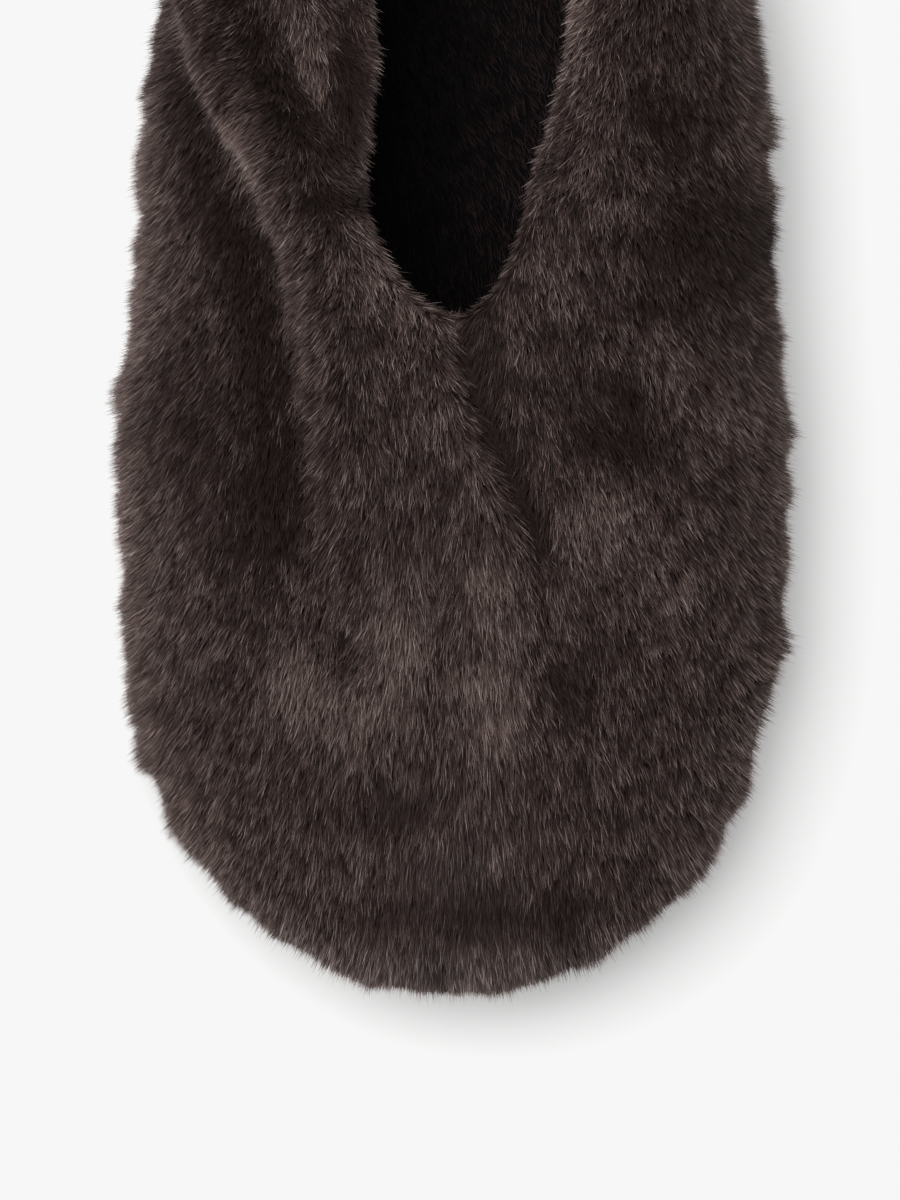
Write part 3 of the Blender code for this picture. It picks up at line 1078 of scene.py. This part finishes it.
class Fleece(SharedEffect):
    """The fine grain of a cloth and its mottling, as a colour and a height."""

    NAME = "fleece"
    INPUTS = sockets(Vector=["Position"], Float=["Grain Scale", "Mottle Scale"], Color=["Dark", "Light"])
    OUTPUTS = sockets(Color=["Colour"], Float=["Height"])
    DETAIL = 2.0
    MOTTLE_SHARE, GRAIN_SHARE = 0.6, 0.4
    DARK_LEVEL, LIGHT_LEVEL = 0.3, 0.7

    @classmethod
    def wire(cls, w: Weave, given: Sockets) -> list[Socket]:
        """Adds the grain to the mottling and colours the sum.

        Args:
            w: The group's nodes.
            given: The group's inputs by name.

        Returns:
            The colour and the height.
        """
        grain, mottle = (
            w.add("ShaderNodeTexNoise", given["Position"], given[scale], cls.DETAIL)[0]
            for scale in ("Grain Scale", "Mottle Scale")
        )
        level = w.math("MULTIPLY_ADD", mottle, cls.MOTTLE_SHARE, w.math("MULTIPLY", grain, cls.GRAIN_SHARE))
        level = w.span(level, cls.DARK_LEVEL, cls.LIGHT_LEVEL)
        return [w.blend(level, given["Dark"], given["Light"]), grain]


@dataclass(frozen=True)
class StrandFinish:
    """The finish of a pile: dark at the root and lighter to the tip, partly as painted shade and painted
    highlight, between a cool and a warm tone that carry painted shade and painted sheen.
    """

    name: str
    cool_and_shaded: tuple[Colour, Colour, Colour]
    warm_and_lit: tuple[Colour, Colour, Colour]
    middle: float = 0.5
    roughness: float = 0.5
    specular: float = 0.35
    rarity: float = 2.0

    def make(self) -> bpy.types.Material:
        """Builds the material, which reads each strand's own map: tint across, root to tip along.

        Returns:
            The material, built once.
        """
        if self.name in bpy.data.materials:
            return bpy.data.materials[self.name]
        material, w, shader = new_material(self.name)
        at = w.add("ShaderNodeUVMap", uv_map=BAKE_MAP)[0]
        tint, along, _ = w.add("ShaderNodeSeparateXYZ", at)
        colour = StrandTone.place(w, tint, along, self.middle, self.rarity, *self.cool_and_shaded, *self.warm_and_lit)[0]
        w.tree.links.new(colour, shader["Base Color"])
        shader["Roughness"].default_value = self.roughness
        shader["Specular IOR Level"].default_value = self.specular
        return material


@dataclass(frozen=True)
class ClothFinish:
    """The finish of a plain cloth: fine fleece, mottled over a few millimetres."""

    name: str
    dark: Colour
    light: Colour
    grain: float = 0.8
    mottle: float = 9.0
    depth: float = 0.3
    roughness: float = 0.9
    specular: float = 0.2

    def make(self) -> bpy.types.Material:
        """Builds the material on object coordinates.

        Returns:
            The material, built once.
        """
        if self.name in bpy.data.materials:
            return bpy.data.materials[self.name]
        material, w, shader = new_material(self.name)
        at = next(socket for socket in w.add("ShaderNodeTexCoord") if socket.name == "Object")
        scales = (1 / (size * MM) for size in (self.grain, self.mottle))
        colour, height = Fleece.place(w, at, *scales, self.dark, self.light)
        w.tree.links.new(colour, shader["Base Color"])
        bump = w.add("ShaderNodeBump", 1.0, self.depth * MM, None, height)[0]
        w.tree.links.new(bump, shader["Normal"])
        shader["Roughness"].default_value = self.roughness
        shader["Specular IOR Level"].default_value = self.specular
        return material


class Browns:
    """The sock's colours, in linear light."""

    FUR = StrandFinish(
        "fur_pile",
        cool_and_shaded=((0.005, 0.0032, 0.0029, 1), (0.016, 0.0099, 0.0091, 1), (0.045, 0.0285, 0.0258, 1)),
        # the brightest warm tips, at the highest tints, are partly painted glints
        warm_and_lit=((0.012, 0.0068, 0.0061, 1), (0.077, 0.0505, 0.0455, 1), (0.236, 0.166, 0.148, 1)),
        specular=0.12,
    )
    GUARD = StrandFinish(
        "fur_guard_hairs",
        cool_and_shaded=((0.006, 0.0038, 0.0036, 1), (0.020, 0.0122, 0.0114, 1), (0.058, 0.037, 0.034, 1)),
        # the warm tip, near white on the few strands of highest tint, is a painted glint
        warm_and_lit=((0.024, 0.0155, 0.0142, 1), (0.236, 0.177, 0.162, 1), (0.710, 0.585, 0.540, 1)),
        roughness=0.4,
        specular=0.3,
        rarity=1.7,
    )
    LINING_PILE = StrandFinish(
        "lining_pile",
        cool_and_shaded=((0.002, 0.0017, 0.0018, 1), (0.004, 0.0032, 0.0034, 1), (0.008, 0.0065, 0.007, 1)),
        # on the insole the warm tones are painted light on its right and the cool tones painted shade on its
        # left
        warm_and_lit=((0.006, 0.0036, 0.0036, 1), (0.024, 0.0145, 0.0145, 1), (0.070, 0.044, 0.043, 1)),
        specular=0.05,
        rarity=1.3,
    )
    BACKING = ClothFinish("fur_backing", (0.003, 0.002, 0.0018, 1), (0.008, 0.005, 0.0046, 1), specular=0.05)
    LINING = ClothFinish(
        "lining_fleece", (0.0018, 0.0016, 0.0017, 1), (0.005, 0.0044, 0.0046, 1), specular=0.05
    )
    SOLE = ClothFinish("sole_suede", (0.016, 0.011, 0.010, 1), (0.034, 0.025, 0.023, 1))
    THREAD = ClothFinish(
        "sole_thread", (0.020, 0.014, 0.012, 1), (0.040, 0.030, 0.027, 1), grain=0.3, mottle=4.0
    )
    GRIPS = ClothFinish(
        "grip_rubber", (0.012, 0.010, 0.010, 1), (0.016, 0.014, 0.013, 1), depth=0.02, roughness=0.5
    )


class Region(NamedTuple):
    """A stretch of the coat that is one piece of fur."""

    name: str
    front: float
    back: float
    side: int


@dataclass
class FurUpper:
    """The fur upper: a backing cloth and the deep pile on it, in pieces that meet without a seam."""

    form: SockForm
    swell: float = 2.75
    turns: int = 220
    rows_out: int = 56
    rows_roll: int = 4
    rows_in: int = 8
    inside_angle: float = math.radians(24.0)
    edge_step: float = 0.1
    backing_inside: float = -0.1
    combed_in: float = 24.0
    heel_nap_start: float = 198.0
    low_nap_height: float = 34.0
    flank_spread: float = 0.2
    fall: float = 0.25
    low_fall: float = 3.0
    most_combed: float = 0.45
    edge_fall: float = 1.4
    rim_rows: int = 8
    rim_pile: float = 0.75
    rim_rise: float = 0.45
    floor_pile: float = 0.6
    floor_pile_height: float = 14.0
    flank_start: float = 8.0
    flank_end: float = 32.0
    flank_foot: float = 9.0
    flank_top: float = 36.0
    lift_end: float = 40.0
    lift_fade: float = 45.0
    flank_lean: float = 0.8
    flank_rise: float = 0.8
    flank_lift: float = 1.7
    foot_pile: float = 0.62
    fringe: float = 0.15
    fringe_waves: tuple[int, ...] = (31, 47, 67)
    fringe_shift: float = 1.0
    under_height: float = 5.0
    under_thick: float = 0.35
    heel_start: float = 66.0
    heel_thick: float = 0.78
    # painted backlight: the fur lighter low on the walls, where the fringe shows against the pale floor
    fringe_backlight: float = 0.42
    tone: float = 0.44
    contrast: float = 1.35
    tone_limits: tuple[float, float] = (0.05, 0.95)
    piles: tuple[tuple[str, Pile], ...] = (
        ("under", Pile(15.0, 4.7, 0.09, 0.84, 0.62, 0.3, 2.0, 0.25, 11, Browns.FUR)),
        ("guard", Pile(2.2, 5.3, 0.08, 0.81, 0.72, 0.3, 2.0, 0.25, 23, Browns.GUARD, 0.55)),
    )
    regions: tuple[Region, ...] = (
        Region("fur_toe", -200, -62, 0),
        Region("fur_left_vamp", -62, 0, -1),
        Region("fur_right_vamp", -62, 0, 1),
        Region("fur_left_quarter", 0, 62, -1),
        Region("fur_right_quarter", 0, 62, 1),
        Region("fur_heel", 62, 200, 0),
    )

    def surface(self) -> tuple[Array, Array]:
        """The backing's face: up the outside, over the collar's edge and a little way down inside.

        Returns:
            Points as rows of turns, and how far each row is past the collar's edge, 0 outside to 1 inside.
        """
        form, turn, top = self.form, full_turn(self.turns), math.pi / 2
        half, at_top = form.wall / 2, np.full(self.turns, top)
        outside = np.linspace(-form.tuck_angle, top, self.rows_out)
        inside = np.linspace(top, top - self.inside_angle, self.rows_in)
        edge, normal = form.cloth(turn, at_top, 0.0), form.normal(turn, at_top)
        over = unit(edge - form.cloth(turn, at_top - self.edge_step, 0.0))
        roll = [
            edge + half * (normal * math.cos(angle) + over * math.sin(angle))
            for angle in np.linspace(0, np.pi, self.rows_roll + 2)[1:-1]
        ]
        rows = (form.rows(self.turns, outside, half, self.swell), roll, form.rows(self.turns, inside, -half))
        rolled = np.linspace(0, 1, self.rows_roll + 2)[1:-1]
        past = np.concatenate([np.zeros(self.rows_out), rolled, np.ones(self.rows_in)])
        return np.concatenate(rows), past

    def nap(self, points: Array, past: Array) -> Array:
        """The way the fur lies: to the toe, out to the flanks, down the heel and low walls, in at the collar.

        Args:
            points: The backing's points, as rows of turns.
            past: How far each row is past the collar's edge.

        Returns:
            A vector for each point.
        """
        form = self.form
        x, y, z = np.moveaxis(points, -1, 0)
        from_toe = y + form.cloth_length / 2
        heel = progress(from_toe, self.heel_nap_start, form.cloth_length)
        low = np.clip(1 - z / self.low_nap_height, 0, 1)
        across = self.flank_spread * x / form.ball_half_width + self.places(points, COMBS)
        lie = np.stack([across, heel - 1, -self.fall - heel - self.low_fall * low], -1)
        front = form.collar_front + form.collar_front_round
        back = form.collar_back - form.collar_back_round
        mouth = np.clip(from_toe, front, back)
        inward = np.stack([-x, mouth - from_toe, np.zeros_like(x)], -1)
        half = np.where(x > 0, form.collar_half_width(1, mouth), form.collar_half_width(-1, mouth))
        from_edge = np.linalg.norm(inward, axis=-1) - half
        inward = unit(inward)
        combed = self.most_combed * np.clip(1 - from_edge / self.combed_in, 0, 1)
        combed = combed * np.clip(1 - inward[..., 1], 0, 1)
        lie = lie + (inward - lie) * combed[..., None]
        over = unit(np.gradient(points, axis=0)) + np.array([0.0, -self.edge_fall, 0.0])
        return lie + (over - lie) * past[:, None, None]

    def shares(self, points: Array) -> dict[str, Array]:
        """How the pile changes over the sock: thick, long, leaning, upright, lifted, and its tint, which
        carries painted sheen, painted shade and painted edge light.

        Args:
            points: The backing's points, as rows of turns.

        Returns:
            The shares by name, one to each point.
        """
        x, y, z = np.moveaxis(points, -1, 0)
        rim = progress(np.arange(len(points)), self.rows_out - self.rim_rows, self.rows_out)[:, None]
        low = np.clip(1 - z / self.floor_pile_height, 0, 1)
        above = progress(z, self.flank_foot, self.flank_top)
        flank = progress(np.abs(x), self.flank_start, self.flank_end) * above
        around = math.tau * full_turn(self.turns) + self.fringe_shift
        foot = self.foot_pile + self.fringe * sum(np.sin(waves * around) for waves in self.fringe_waves)
        length = (1 - (1 - self.rim_pile) * rim) * (1 - (1 - self.floor_pile) * low)
        length = length * (foot + (1 - foot) * above)
        lift = self.flank_lift * flank * np.clip(1 - (y - self.lift_end) / self.lift_fade, 0, 1)
        thick = np.where(y > self.heel_start, self.heel_thick, 1.0)
        thick = np.where(z < self.under_height, self.under_thick, thick)
        # painted sheen and painted shade from the patches, painted backlight low on the walls, then painted
        # shade and painted highlight along the lines
        tint = self.tone + self.contrast * self.places(points, SHEEN_AND_SHADE_PATCHES) + self.fringe_backlight * (1 - above)
        tint = np.clip(tint, *self.tone_limits) + self.form.trace(points[..., :2], SHADE_AND_HIGHLIGHT_LINES)
        return {
            "thick": thick,
            "pile": length * (1 + self.places(points, TUFTS)),
            "lean": 1 + (self.flank_lean - 1) * flank,
            "rise": (1 - (1 - self.rim_rise) * rim) * (1 - (1 - self.flank_rise) * flank),
            "lift": lift,
            "tint": tint,
        }

    @staticmethod
    def places(points: Array, table: Sequence[Patch]) -> Array:
        """The sum of a table's soft round places at these points.

        Args:
            points: The points.
            table: The places.

        Returns:
            The sum at each point.
        """
        total = np.zeros(points.shape[:-1])
        for patch in table:
            across = (points[..., 0] - patch.x) / patch.reach_x
            along = (points[..., 1] - patch.y) / patch.reach_y
            total += patch.amount * np.exp(-(across**2 + along**2))
        return total

    def build(self, strands: StrandTree) -> list[Piece]:
        """Makes the backing and the pieces of fur.

        Args:
            strands: The tree that grows the pile.

        Returns:
            The backing, then the pieces of fur.
        """
        points, past = self.surface()
        flat = points.reshape(-1, 3)
        nap = self.nap(points, past)
        shares = self.shares(points)
        faces = ring_faces(len(points), self.turns, False)
        centres = flat[faces].mean(axis=1)
        pieces = [self.build_backing(points)]
        for region in self.regions:
            mine = (centres[:, 1] >= region.front) & (centres[:, 1] < region.back)
            if region.side:
                mine &= centres[:, 0] * region.side >= 0
            for kind, pile in self.piles:
                ground = add_mesh(region.name + "_ground", flat, faces[mine].tolist())
                carry(ground, nap, {**shares, "pile": 1 - (1 - shares["pile"]) * pile.trim})
                pieces.append(strands.grow(f"{region.name}_{kind}", ground, pile))
        return pieces

    def build_backing(self, face: Array) -> Piece:
        """The cloth that the pile is knitted into, a closed shell from the floor to the collar's edge.

        Args:
            face: The backing's face, as rows of turns.

        Returns:
            The backing.
        """
        angles = np.linspace(math.pi / 2, -self.form.tuck_angle, self.rows_out // 2)
        inner = self.form.rows(self.turns, angles, self.backing_inside)
        outer = face[: self.rows_out + self.rows_roll // 2]
        backing = add_rings("fur_backing", np.concatenate([outer, inner]), True)
        backing.data.materials.append(Browns.BACKING.make())
        return backing

    def dress(self, pieces: Sequence[Piece]) -> None:
        """Puts the pieces in the upper's place."""
        settle(pieces)
        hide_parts("upper")


def carry(ground: Piece, nap: Array, shares: dict[str, Array]) -> None:
    """Keeps the nap and the shares of pile, lean and tint on a surface's points."""
    for name, values in {"nap": nap, **shares}.items():
        keep(ground, name, values)


def even_shares(tint: Array) -> dict[str, Array]:
    """The shares of a pile that is even all over, with this tint."""
    even = np.ones_like(tint)
    return {"thick": even, "pile": even, "lean": even, "rise": even, "lift": 0 * even, "tint": tint}


@dataclass
class Lining:
    """The dark lining inside the wall, with its short pile."""

    form: SockForm
    turns: int = 160
    rows: int = 30
    outside: float = -0.5
    pile_top: float = math.radians(72.0)
    tone: float = 0.5
    pile: Pile = Pile(0.7, 3.0, 0.16, 0.8, 0.7, 0.3, 2.0, 0.3, 37, Browns.LINING_PILE)

    def build(self, strands: StrandTree) -> list[Piece]:
        """Makes the lining and the pile on it.

        Args:
            strands: The tree that grows the pile.

        Returns:
            The lining and its pile.
        """
        form, low, top = self.form, -self.form.tuck_angle, math.pi / 2
        inside = form.rows(self.turns, np.linspace(top, low, self.rows), -form.wall / 2)
        outside = form.rows(self.turns, np.linspace(low, top, self.rows), self.outside)
        cloth = add_rings("lining", np.concatenate([inside, outside]), True)
        cloth.data.materials.append(Browns.LINING.make())
        face = form.rows(self.turns, np.linspace(self.pile_top, low, self.rows), -form.wall / 2)
        ground = add_rings("lining_ground", face, False)
        carry(ground, np.gradient(face, axis=0), even_shares(np.full(face.shape[:-1], self.tone)))
        return [cloth, strands.grow("lining_pile", ground, self.pile)]

    def dress(self, pieces: Sequence[Piece]) -> None:
        """Lets the lining ride with the upper."""
        settle(pieces)


def settle(pieces: Sequence[Piece]) -> None:
    """Lets finished pieces ride with the sock, and reports them.

    Args:
        pieces: The pieces.
    """
    for piece in pieces:
        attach(piece, BODY)
        log.info("%s: %d faces", piece.name, len(piece.data.polygons))


class PlateRow(NamedTuple):
    """A row of a plate's section: a share of the way out from its middle line, and of its thickness."""

    out: float
    up: float


@dataclass
class FootPlate:
    """A plate that follows the foot's outline and ground line, with a soft edge."""

    form: SockForm
    past_wall: float
    bottom: float
    thick: float
    section: tuple[PlateRow, ...]
    turns: int = 160
    spine_front: float = -85.0
    spine_back: float = 95.0
    merge: float = 0.001

    def plan(self, turn: Array, out: float, inset: float = 0.0) -> Array:
        """Points a share of the way from the middle line to an edge, seen from above.

        Args:
            turn: Turns round the foot.
            out: The share of the way.
            inset: How far in from the plate's own edge that edge is.

        Returns:
            A point for each turn.
        """
        edge = self.form.inset(turn, self.form.tuck(turn) + self.past_wall + inset)
        spine = np.stack([np.zeros_like(turn), np.clip(edge[:, 1], self.spine_front, self.spine_back)], -1)
        return spine + (edge - spine) * out

    def level(self, plan: Array) -> Array:
        """Height of the plate's underside over these places."""
        return self.bottom + self.form.ground(plan[..., 1] + self.form.cloth_length / 2)

    def build(self, name: str, finish: ClothFinish) -> Piece:
        """Makes the plate, closed along its middle line.

        Args:
            name: The piece's name.
            finish: Its finish.

        Returns:
            The plate.
        """
        plans = [(self.plan(full_turn(self.turns), row.out), row.up) for row in self.section]
        rows = [raised(plan, self.level(plan) + self.thick * up) for plan, up in plans]
        faces = ring_faces(len(rows), self.turns, False)[:, ::-1]
        plate = add_mesh(name, np.array(rows).reshape(-1, 3), faces.tolist())
        work = bmesh.new()
        work.from_mesh(plate.data)
        bmesh.ops.remove_doubles(work, verts=work.verts, dist=self.merge * MM)
        bmesh.ops.recalc_face_normals(work, faces=work.faces)
        work.to_mesh(plate.data)
        work.free()
        plate.data.materials.append(finish.make())
        return plate


class RepeatTree:
    """A Geometry Nodes tree that sets one small shape at every point, turned along the point's own line."""

    INPUTS = sockets(Geometry=["Geometry"], Object=["Shape"], Material=["Finish"])

    def __init__(self) -> None:
        """Builds the tree."""
        w, given = new_tree("repeats", "GeometryNodeTree", self.INPUTS, self.INPUTS[:1])
        self.tree = w.tree
        self.tree.is_modifier = True
        shape = w.add("GeometryNodeObjectInfo", given["Shape"])[-1]
        line = w.attribute("line", "FLOAT_VECTOR")
        turn = w.add("FunctionNodeAlignRotationToVector", None, None, line, axis="X")[0]
        copies = w.add("GeometryNodeInstanceOnPoints", given["Geometry"], True, shape, None, None, turn)[0]
        copies = w.add("GeometryNodeRealizeInstances", copies)[0]
        copies = w.add("GeometryNodeSetMaterial", copies, True, given["Finish"])[0]
        w.add("NodeGroupOutput", copies)

    def repeat(
        self, name: str, points: Array, lines: Array, shape: Piece, finish: ClothFinish
    ) -> Piece:
        """Sets a shape at every point and removes the single one.

        Args:
            name: The new piece's name.
            points: Places in millimetres.
            lines: The way each copy runs.
            shape: The shape, at the origin and running along X.
            finish: The copies' finish.

        Returns:
            The piece, a plain mesh.
        """
        places = add_mesh(name + "_places", points, [])
        keep(places, "line", lines)
        piece = run_tree(self.tree, places, name, {"Shape": shape, "Finish": finish.make()})
        bpy.data.objects.remove(shape, do_unlink=True)
        return piece


def pebble(name: str, sizes: tuple[float, float, float], rounds: int, rings: int) -> Piece:
    """A small closed rounded shape at the origin, with these sizes from end to end.

    Args:
        name: The shape's name.
        sizes: Its length, width and height.
        rounds: Points in each ring.
        rings: Bands from end to end.

    Returns:
        The shape.
    """
    work = bmesh.new()
    bmesh.ops.create_uvsphere(work, u_segments=rounds, v_segments=rings, radius=0.5)
    bmesh.ops.scale(work, vec=[size * MM for size in sizes], verts=work.verts)
    mesh = bpy.data.meshes.new(name)
    work.to_mesh(mesh)
    work.free()
    mesh.polygons.foreach_set("use_smooth", [True] * len(mesh.polygons))
    return link(name, mesh)


@dataclass
class Sole:
    """The soft sole: a cloth plate with a stitched edge and rows of grip dots underneath."""

    form: SockForm
    thick: float = 4.0
    underlap: float = 0.8
    dot_height: float = 0.7
    dot_width: float = 3.6
    dot_pitch: float = 7.0
    dot_margin: float = 9.0
    stitch: float = 3.0
    stitch_pitch: float = 4.2
    stitch_width: float = 0.7
    stitch_inset: float = 4.0
    dots_front: float = -80.0
    dots_back: float = 90.0
    dot_faces: tuple[int, int] = (10, 6)
    stitch_faces: tuple[int, int] = (6, 6)
    stitch_ahead: float = 0.001
    margin_samples: int = 720
    seam_samples: int = 4000
    section: tuple[PlateRow, ...] = tuple(
        PlateRow(*row)
        for row in (
            (0.0, 0.0), (0.5, 0.0), (0.9, 0.0), (0.965, 0.0), (0.985, 0.06), (0.996, 0.16), (1.0, 0.32),
            (1.0, 0.70), (0.996, 0.85), (0.985, 0.95), (0.965, 1.0), (0.5, 1.0), (0.0, 1.0),
        )
    )

    def __post_init__(self) -> None:
        """Lays the plate out, raised by the height of the dots."""
        thick = self.thick - self.dot_height
        self.plate = FootPlate(self.form, -self.underlap, self.dot_height, thick, self.section)

    def dots(self) -> Array:
        """Places of the grip dots, in staggered rows well inside the edge.

        Returns:
            Points on the plate's underside.
        """
        length, half = self.form.cloth_length, self.form.ball_half_width
        places = []
        for k, y in enumerate(np.arange(-length / 2, length / 2, self.dot_pitch * math.sqrt(3) / 2)):
            xs = np.arange(-half, half, self.dot_pitch) + (k % 2) * self.dot_pitch / 2
            places += [(x, y) for x in xs]
        plan, turn = np.array(places), full_turn(self.margin_samples)
        ring = self.form.inset(turn, self.form.tuck(turn) + self.dot_margin)
        away = plan[:, None] - ring[None]
        nearest = np.argmin((away**2).sum(-1), axis=1)
        middle = np.clip(plan[:, 1], self.dots_front, self.dots_back)
        inward = np.stack([np.zeros(len(plan)), middle], -1) - ring[nearest]
        plan = plan[(away[np.arange(len(plan)), nearest] * inward).sum(-1) > 0]
        return raised(plan, self.plate.level(plan))

    def seam(self) -> tuple[Array, Array]:
        """Places of the stitches, evenly round the edge, and the way each runs.

        Returns:
            Points on the plate's underside, and a vector for each.
        """
        turn = full_turn(self.seam_samples)
        ring = self.plate.plan(turn, 1.0, self.stitch_inset)
        run = np.concatenate([[0.0], np.cumsum(np.linalg.norm(np.diff(ring, axis=0), axis=1))])
        at = np.interp(np.arange(0, run[-1], self.stitch_pitch), run, turn)
        plans = [self.plate.plan(at + step, 1.0, self.stitch_inset) for step in (0.0, self.stitch_ahead)]
        places, ahead = (raised(plan, self.plate.level(plan)) for plan in plans)
        return places, ahead - places

    def build(self, repeats: RepeatTree) -> list[Piece]:
        """Makes the plate, its dots and its stitches.

        Args:
            repeats: The tree that repeats small shapes.

        Returns:
            The plate, then the dots and the stitches.
        """
        plate = self.plate.build("sole_base", Browns.SOLE)
        dots = self.dots()
        along = np.tile((1.0, 0.0, 0.0), (len(dots), 1))
        dome = pebble("dot", (self.dot_width, self.dot_width, 2 * self.dot_height), *self.dot_faces)
        pieces = [plate, repeats.repeat("grip_dots", dots, along, dome, Browns.GRIPS)]
        thread = pebble("stitch", (self.stitch, self.stitch_width, self.stitch_width), *self.stitch_faces)
        pieces.append(repeats.repeat("sole_stitches", *self.seam(), thread, Browns.THREAD))
        return pieces

    def dress(self, pieces: Sequence[Piece]) -> None:
        """Puts the pieces in the sole's place."""
        settle(pieces)
        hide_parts("sole")


@dataclass
class Insole:
    """The padded insole, crowned and soft at its edge."""

    form: SockForm
    thick: float = 4.2
    clearance: float = 0.8
    fill: float = 0.35
    section: tuple[PlateRow, ...] = tuple(
        PlateRow(*row)
        for row in (
            (0.0, 0.0), (0.6, 0.0), (0.88, 0.0), (0.95, 0.06), (0.985, 0.22), (1.0, 0.45), (0.985, 0.66),
            (0.95, 0.80), (0.88, 0.90), (0.7, 0.97), (0.4, 1.0), (0.0, 1.0),
        )
    )
    plush_rows: int = 14
    plush_out: float = 0.9
    plush_nap: tuple[float, float, float] = (0.3, -1.0, 0.0)
    # painted shade on the left of the insole, under the left wall, turning to painted light on its right
    shaded_side: float = -4.0
    lit_side: float = 16.0
    plush: Pile = Pile(2.6, 3.4, 0.12, 0.8, 0.8, 0.35, 2.5, 0.3, 41, Browns.LINING_PILE)

    def build(self, strands: StrandTree) -> list[Piece]:
        """Makes the pad on top of the sole and the plush on the pad.

        Args:
            strands: The tree that grows the plush.

        Returns:
            The pad and its plush.
        """
        form = self.form
        inside, bottom = form.wall / 2 + self.clearance, form.sole_thick + form.gap
        plate = FootPlate(form, inside, bottom, self.thick, self.section)
        turn = full_turn(plate.turns)
        plans = np.array([plate.plan(turn, out) for out in np.linspace(self.plush_out, 0, self.plush_rows)])
        top = raised(plans, plate.level(plans) + self.thick)
        ground = add_rings("insole_ground", top, False)
        # painted shade and painted light across the insole, from left to right
        tint = progress(top[..., 0], self.shaded_side, self.lit_side)
        carry(ground, np.broadcast_to(self.plush_nap, top.shape), even_shares(tint))
        pad = plate.build("insole_pad", Browns.LINING)
        return [pad, strands.grow("insole_plush", ground, self.plush)]

    def dress(self, pieces: Sequence[Piece]) -> None:
        """Puts the pad in the insole's place, with its plush.

        Args:
            pieces: The pad and its plush.
        """
        settle(pieces)
        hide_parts("insole")


@dataclass
class Studio:
    """A pale floor, a large soft light from the upper left, even fill, and the camera straight above."""

    camera_height: float = 1600.0
    aim: tuple[float, float] = (-0.7, -60.2)
    frame_height: float = 210.5
    frame_level: float = 18.0
    sensor: float = 24.0
    floor_side: float = 4000.0
    floor_colour: Colour = (0.87, 0.87, 0.865, 1.0)
    floor_roughness: float = 0.9
    floor_specular: float = 0.1
    floor_glow: float = 0.13
    film_knee: float = 0.7
    film_white: float = 0.93
    fill: float = 0.5
    key_place: tuple[float, float, float] = (-380.0, 220.0, 1110.0)
    key_side: float = 1000.0
    key_power: float = 15.0

    def build(self) -> None:
        """Makes the floor, the lights and the camera."""
        half = self.floor_side / 2
        corners = np.array([(-half, -half, 0), (half, -half, 0), (half, half, 0), (-half, half, 0)], float)
        floor = add_mesh("floor", corners, [(0, 1, 2, 3)], False)
        material, _, shader = new_material("pale_floor")
        shader["Base Color"].default_value = self.floor_colour
        shader["Roughness"].default_value = self.floor_roughness
        shader["Specular IOR Level"].default_value = self.floor_specular
        shader["Emission Color"].default_value = WHITE
        shader["Emission Strength"].default_value = self.floor_glow
        floor.data.materials.append(material)
        scene = bpy.context.scene
        world = bpy.data.worlds.new("studio_fill")
        world.use_nodes = True
        sky = world.node_tree.nodes["Background"].inputs
        sky["Color"].default_value = WHITE
        sky["Strength"].default_value = self.fill
        scene.world = world
        scene.view_settings.view_transform = "Standard"
        self.set_film(scene.view_settings)
        self.add_key()
        scene.camera = self.add_camera()

    def set_film(self, view: bpy.types.ColorManagedViewSettings) -> None:
        """Gives the picture a soft shoulder, so that the floor stays just below white.

        Args:
            view: The scene's view settings.
        """
        view.use_curve_mapping = True
        film = view.curve_mapping
        film.extend = "HORIZONTAL"
        _, _, _, combined = film.curves
        combined.points[-1].location = (1.0, self.film_white)
        combined.points.new(self.film_knee, self.film_knee)
        film.update()

    def add_key(self) -> None:
        """The large soft light."""
        light = bpy.data.lights.new("key", "AREA")
        light.shape, light.size, light.energy = "SQUARE", self.key_side * MM, self.key_power
        key = link("key", light)
        away = np.array(self.key_place) - np.array([*self.aim, 0.0])
        key.location = np.array(self.key_place) * MM
        flat = math.hypot(away[0], away[1])
        key.rotation_euler = (math.atan2(flat, away[2]), 0.0, math.atan2(away[1], away[0]) + math.pi / 2)

    def add_camera(self) -> Piece:
        """The camera, over the forefoot and looking straight down with the toe at the bottom.

        Returns:
            The camera.
        """
        camera = bpy.data.cameras.new("camera")
        camera.sensor_fit, camera.sensor_height = "VERTICAL", self.sensor
        camera.lens = self.sensor * (self.camera_height - self.frame_level) / self.frame_height
        holder = link("camera", camera)
        holder.location = (self.aim[0] * MM, self.aim[1] * MM, self.camera_height * MM)
        return holder


def main() -> None:
    """Builds the sock on its frame and writes how large it came out."""
    logging.basicConfig(level=logging.INFO, format="%(name)s: %(message)s")
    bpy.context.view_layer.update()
    Studio().build()
    form = SockForm()
    strands = StrandTree()
    upper = FurUpper(form)
    upper.dress(upper.build(strands))
    lining = Lining(form)
    lining.dress(lining.build(strands))
    insole = Insole(form)
    insole.dress(insole.build(strands))
    strands.put_away()
    sole = Sole(form)
    sole.dress(sole.build(RepeatTree()))


if __name__ == "__main__":
    main()
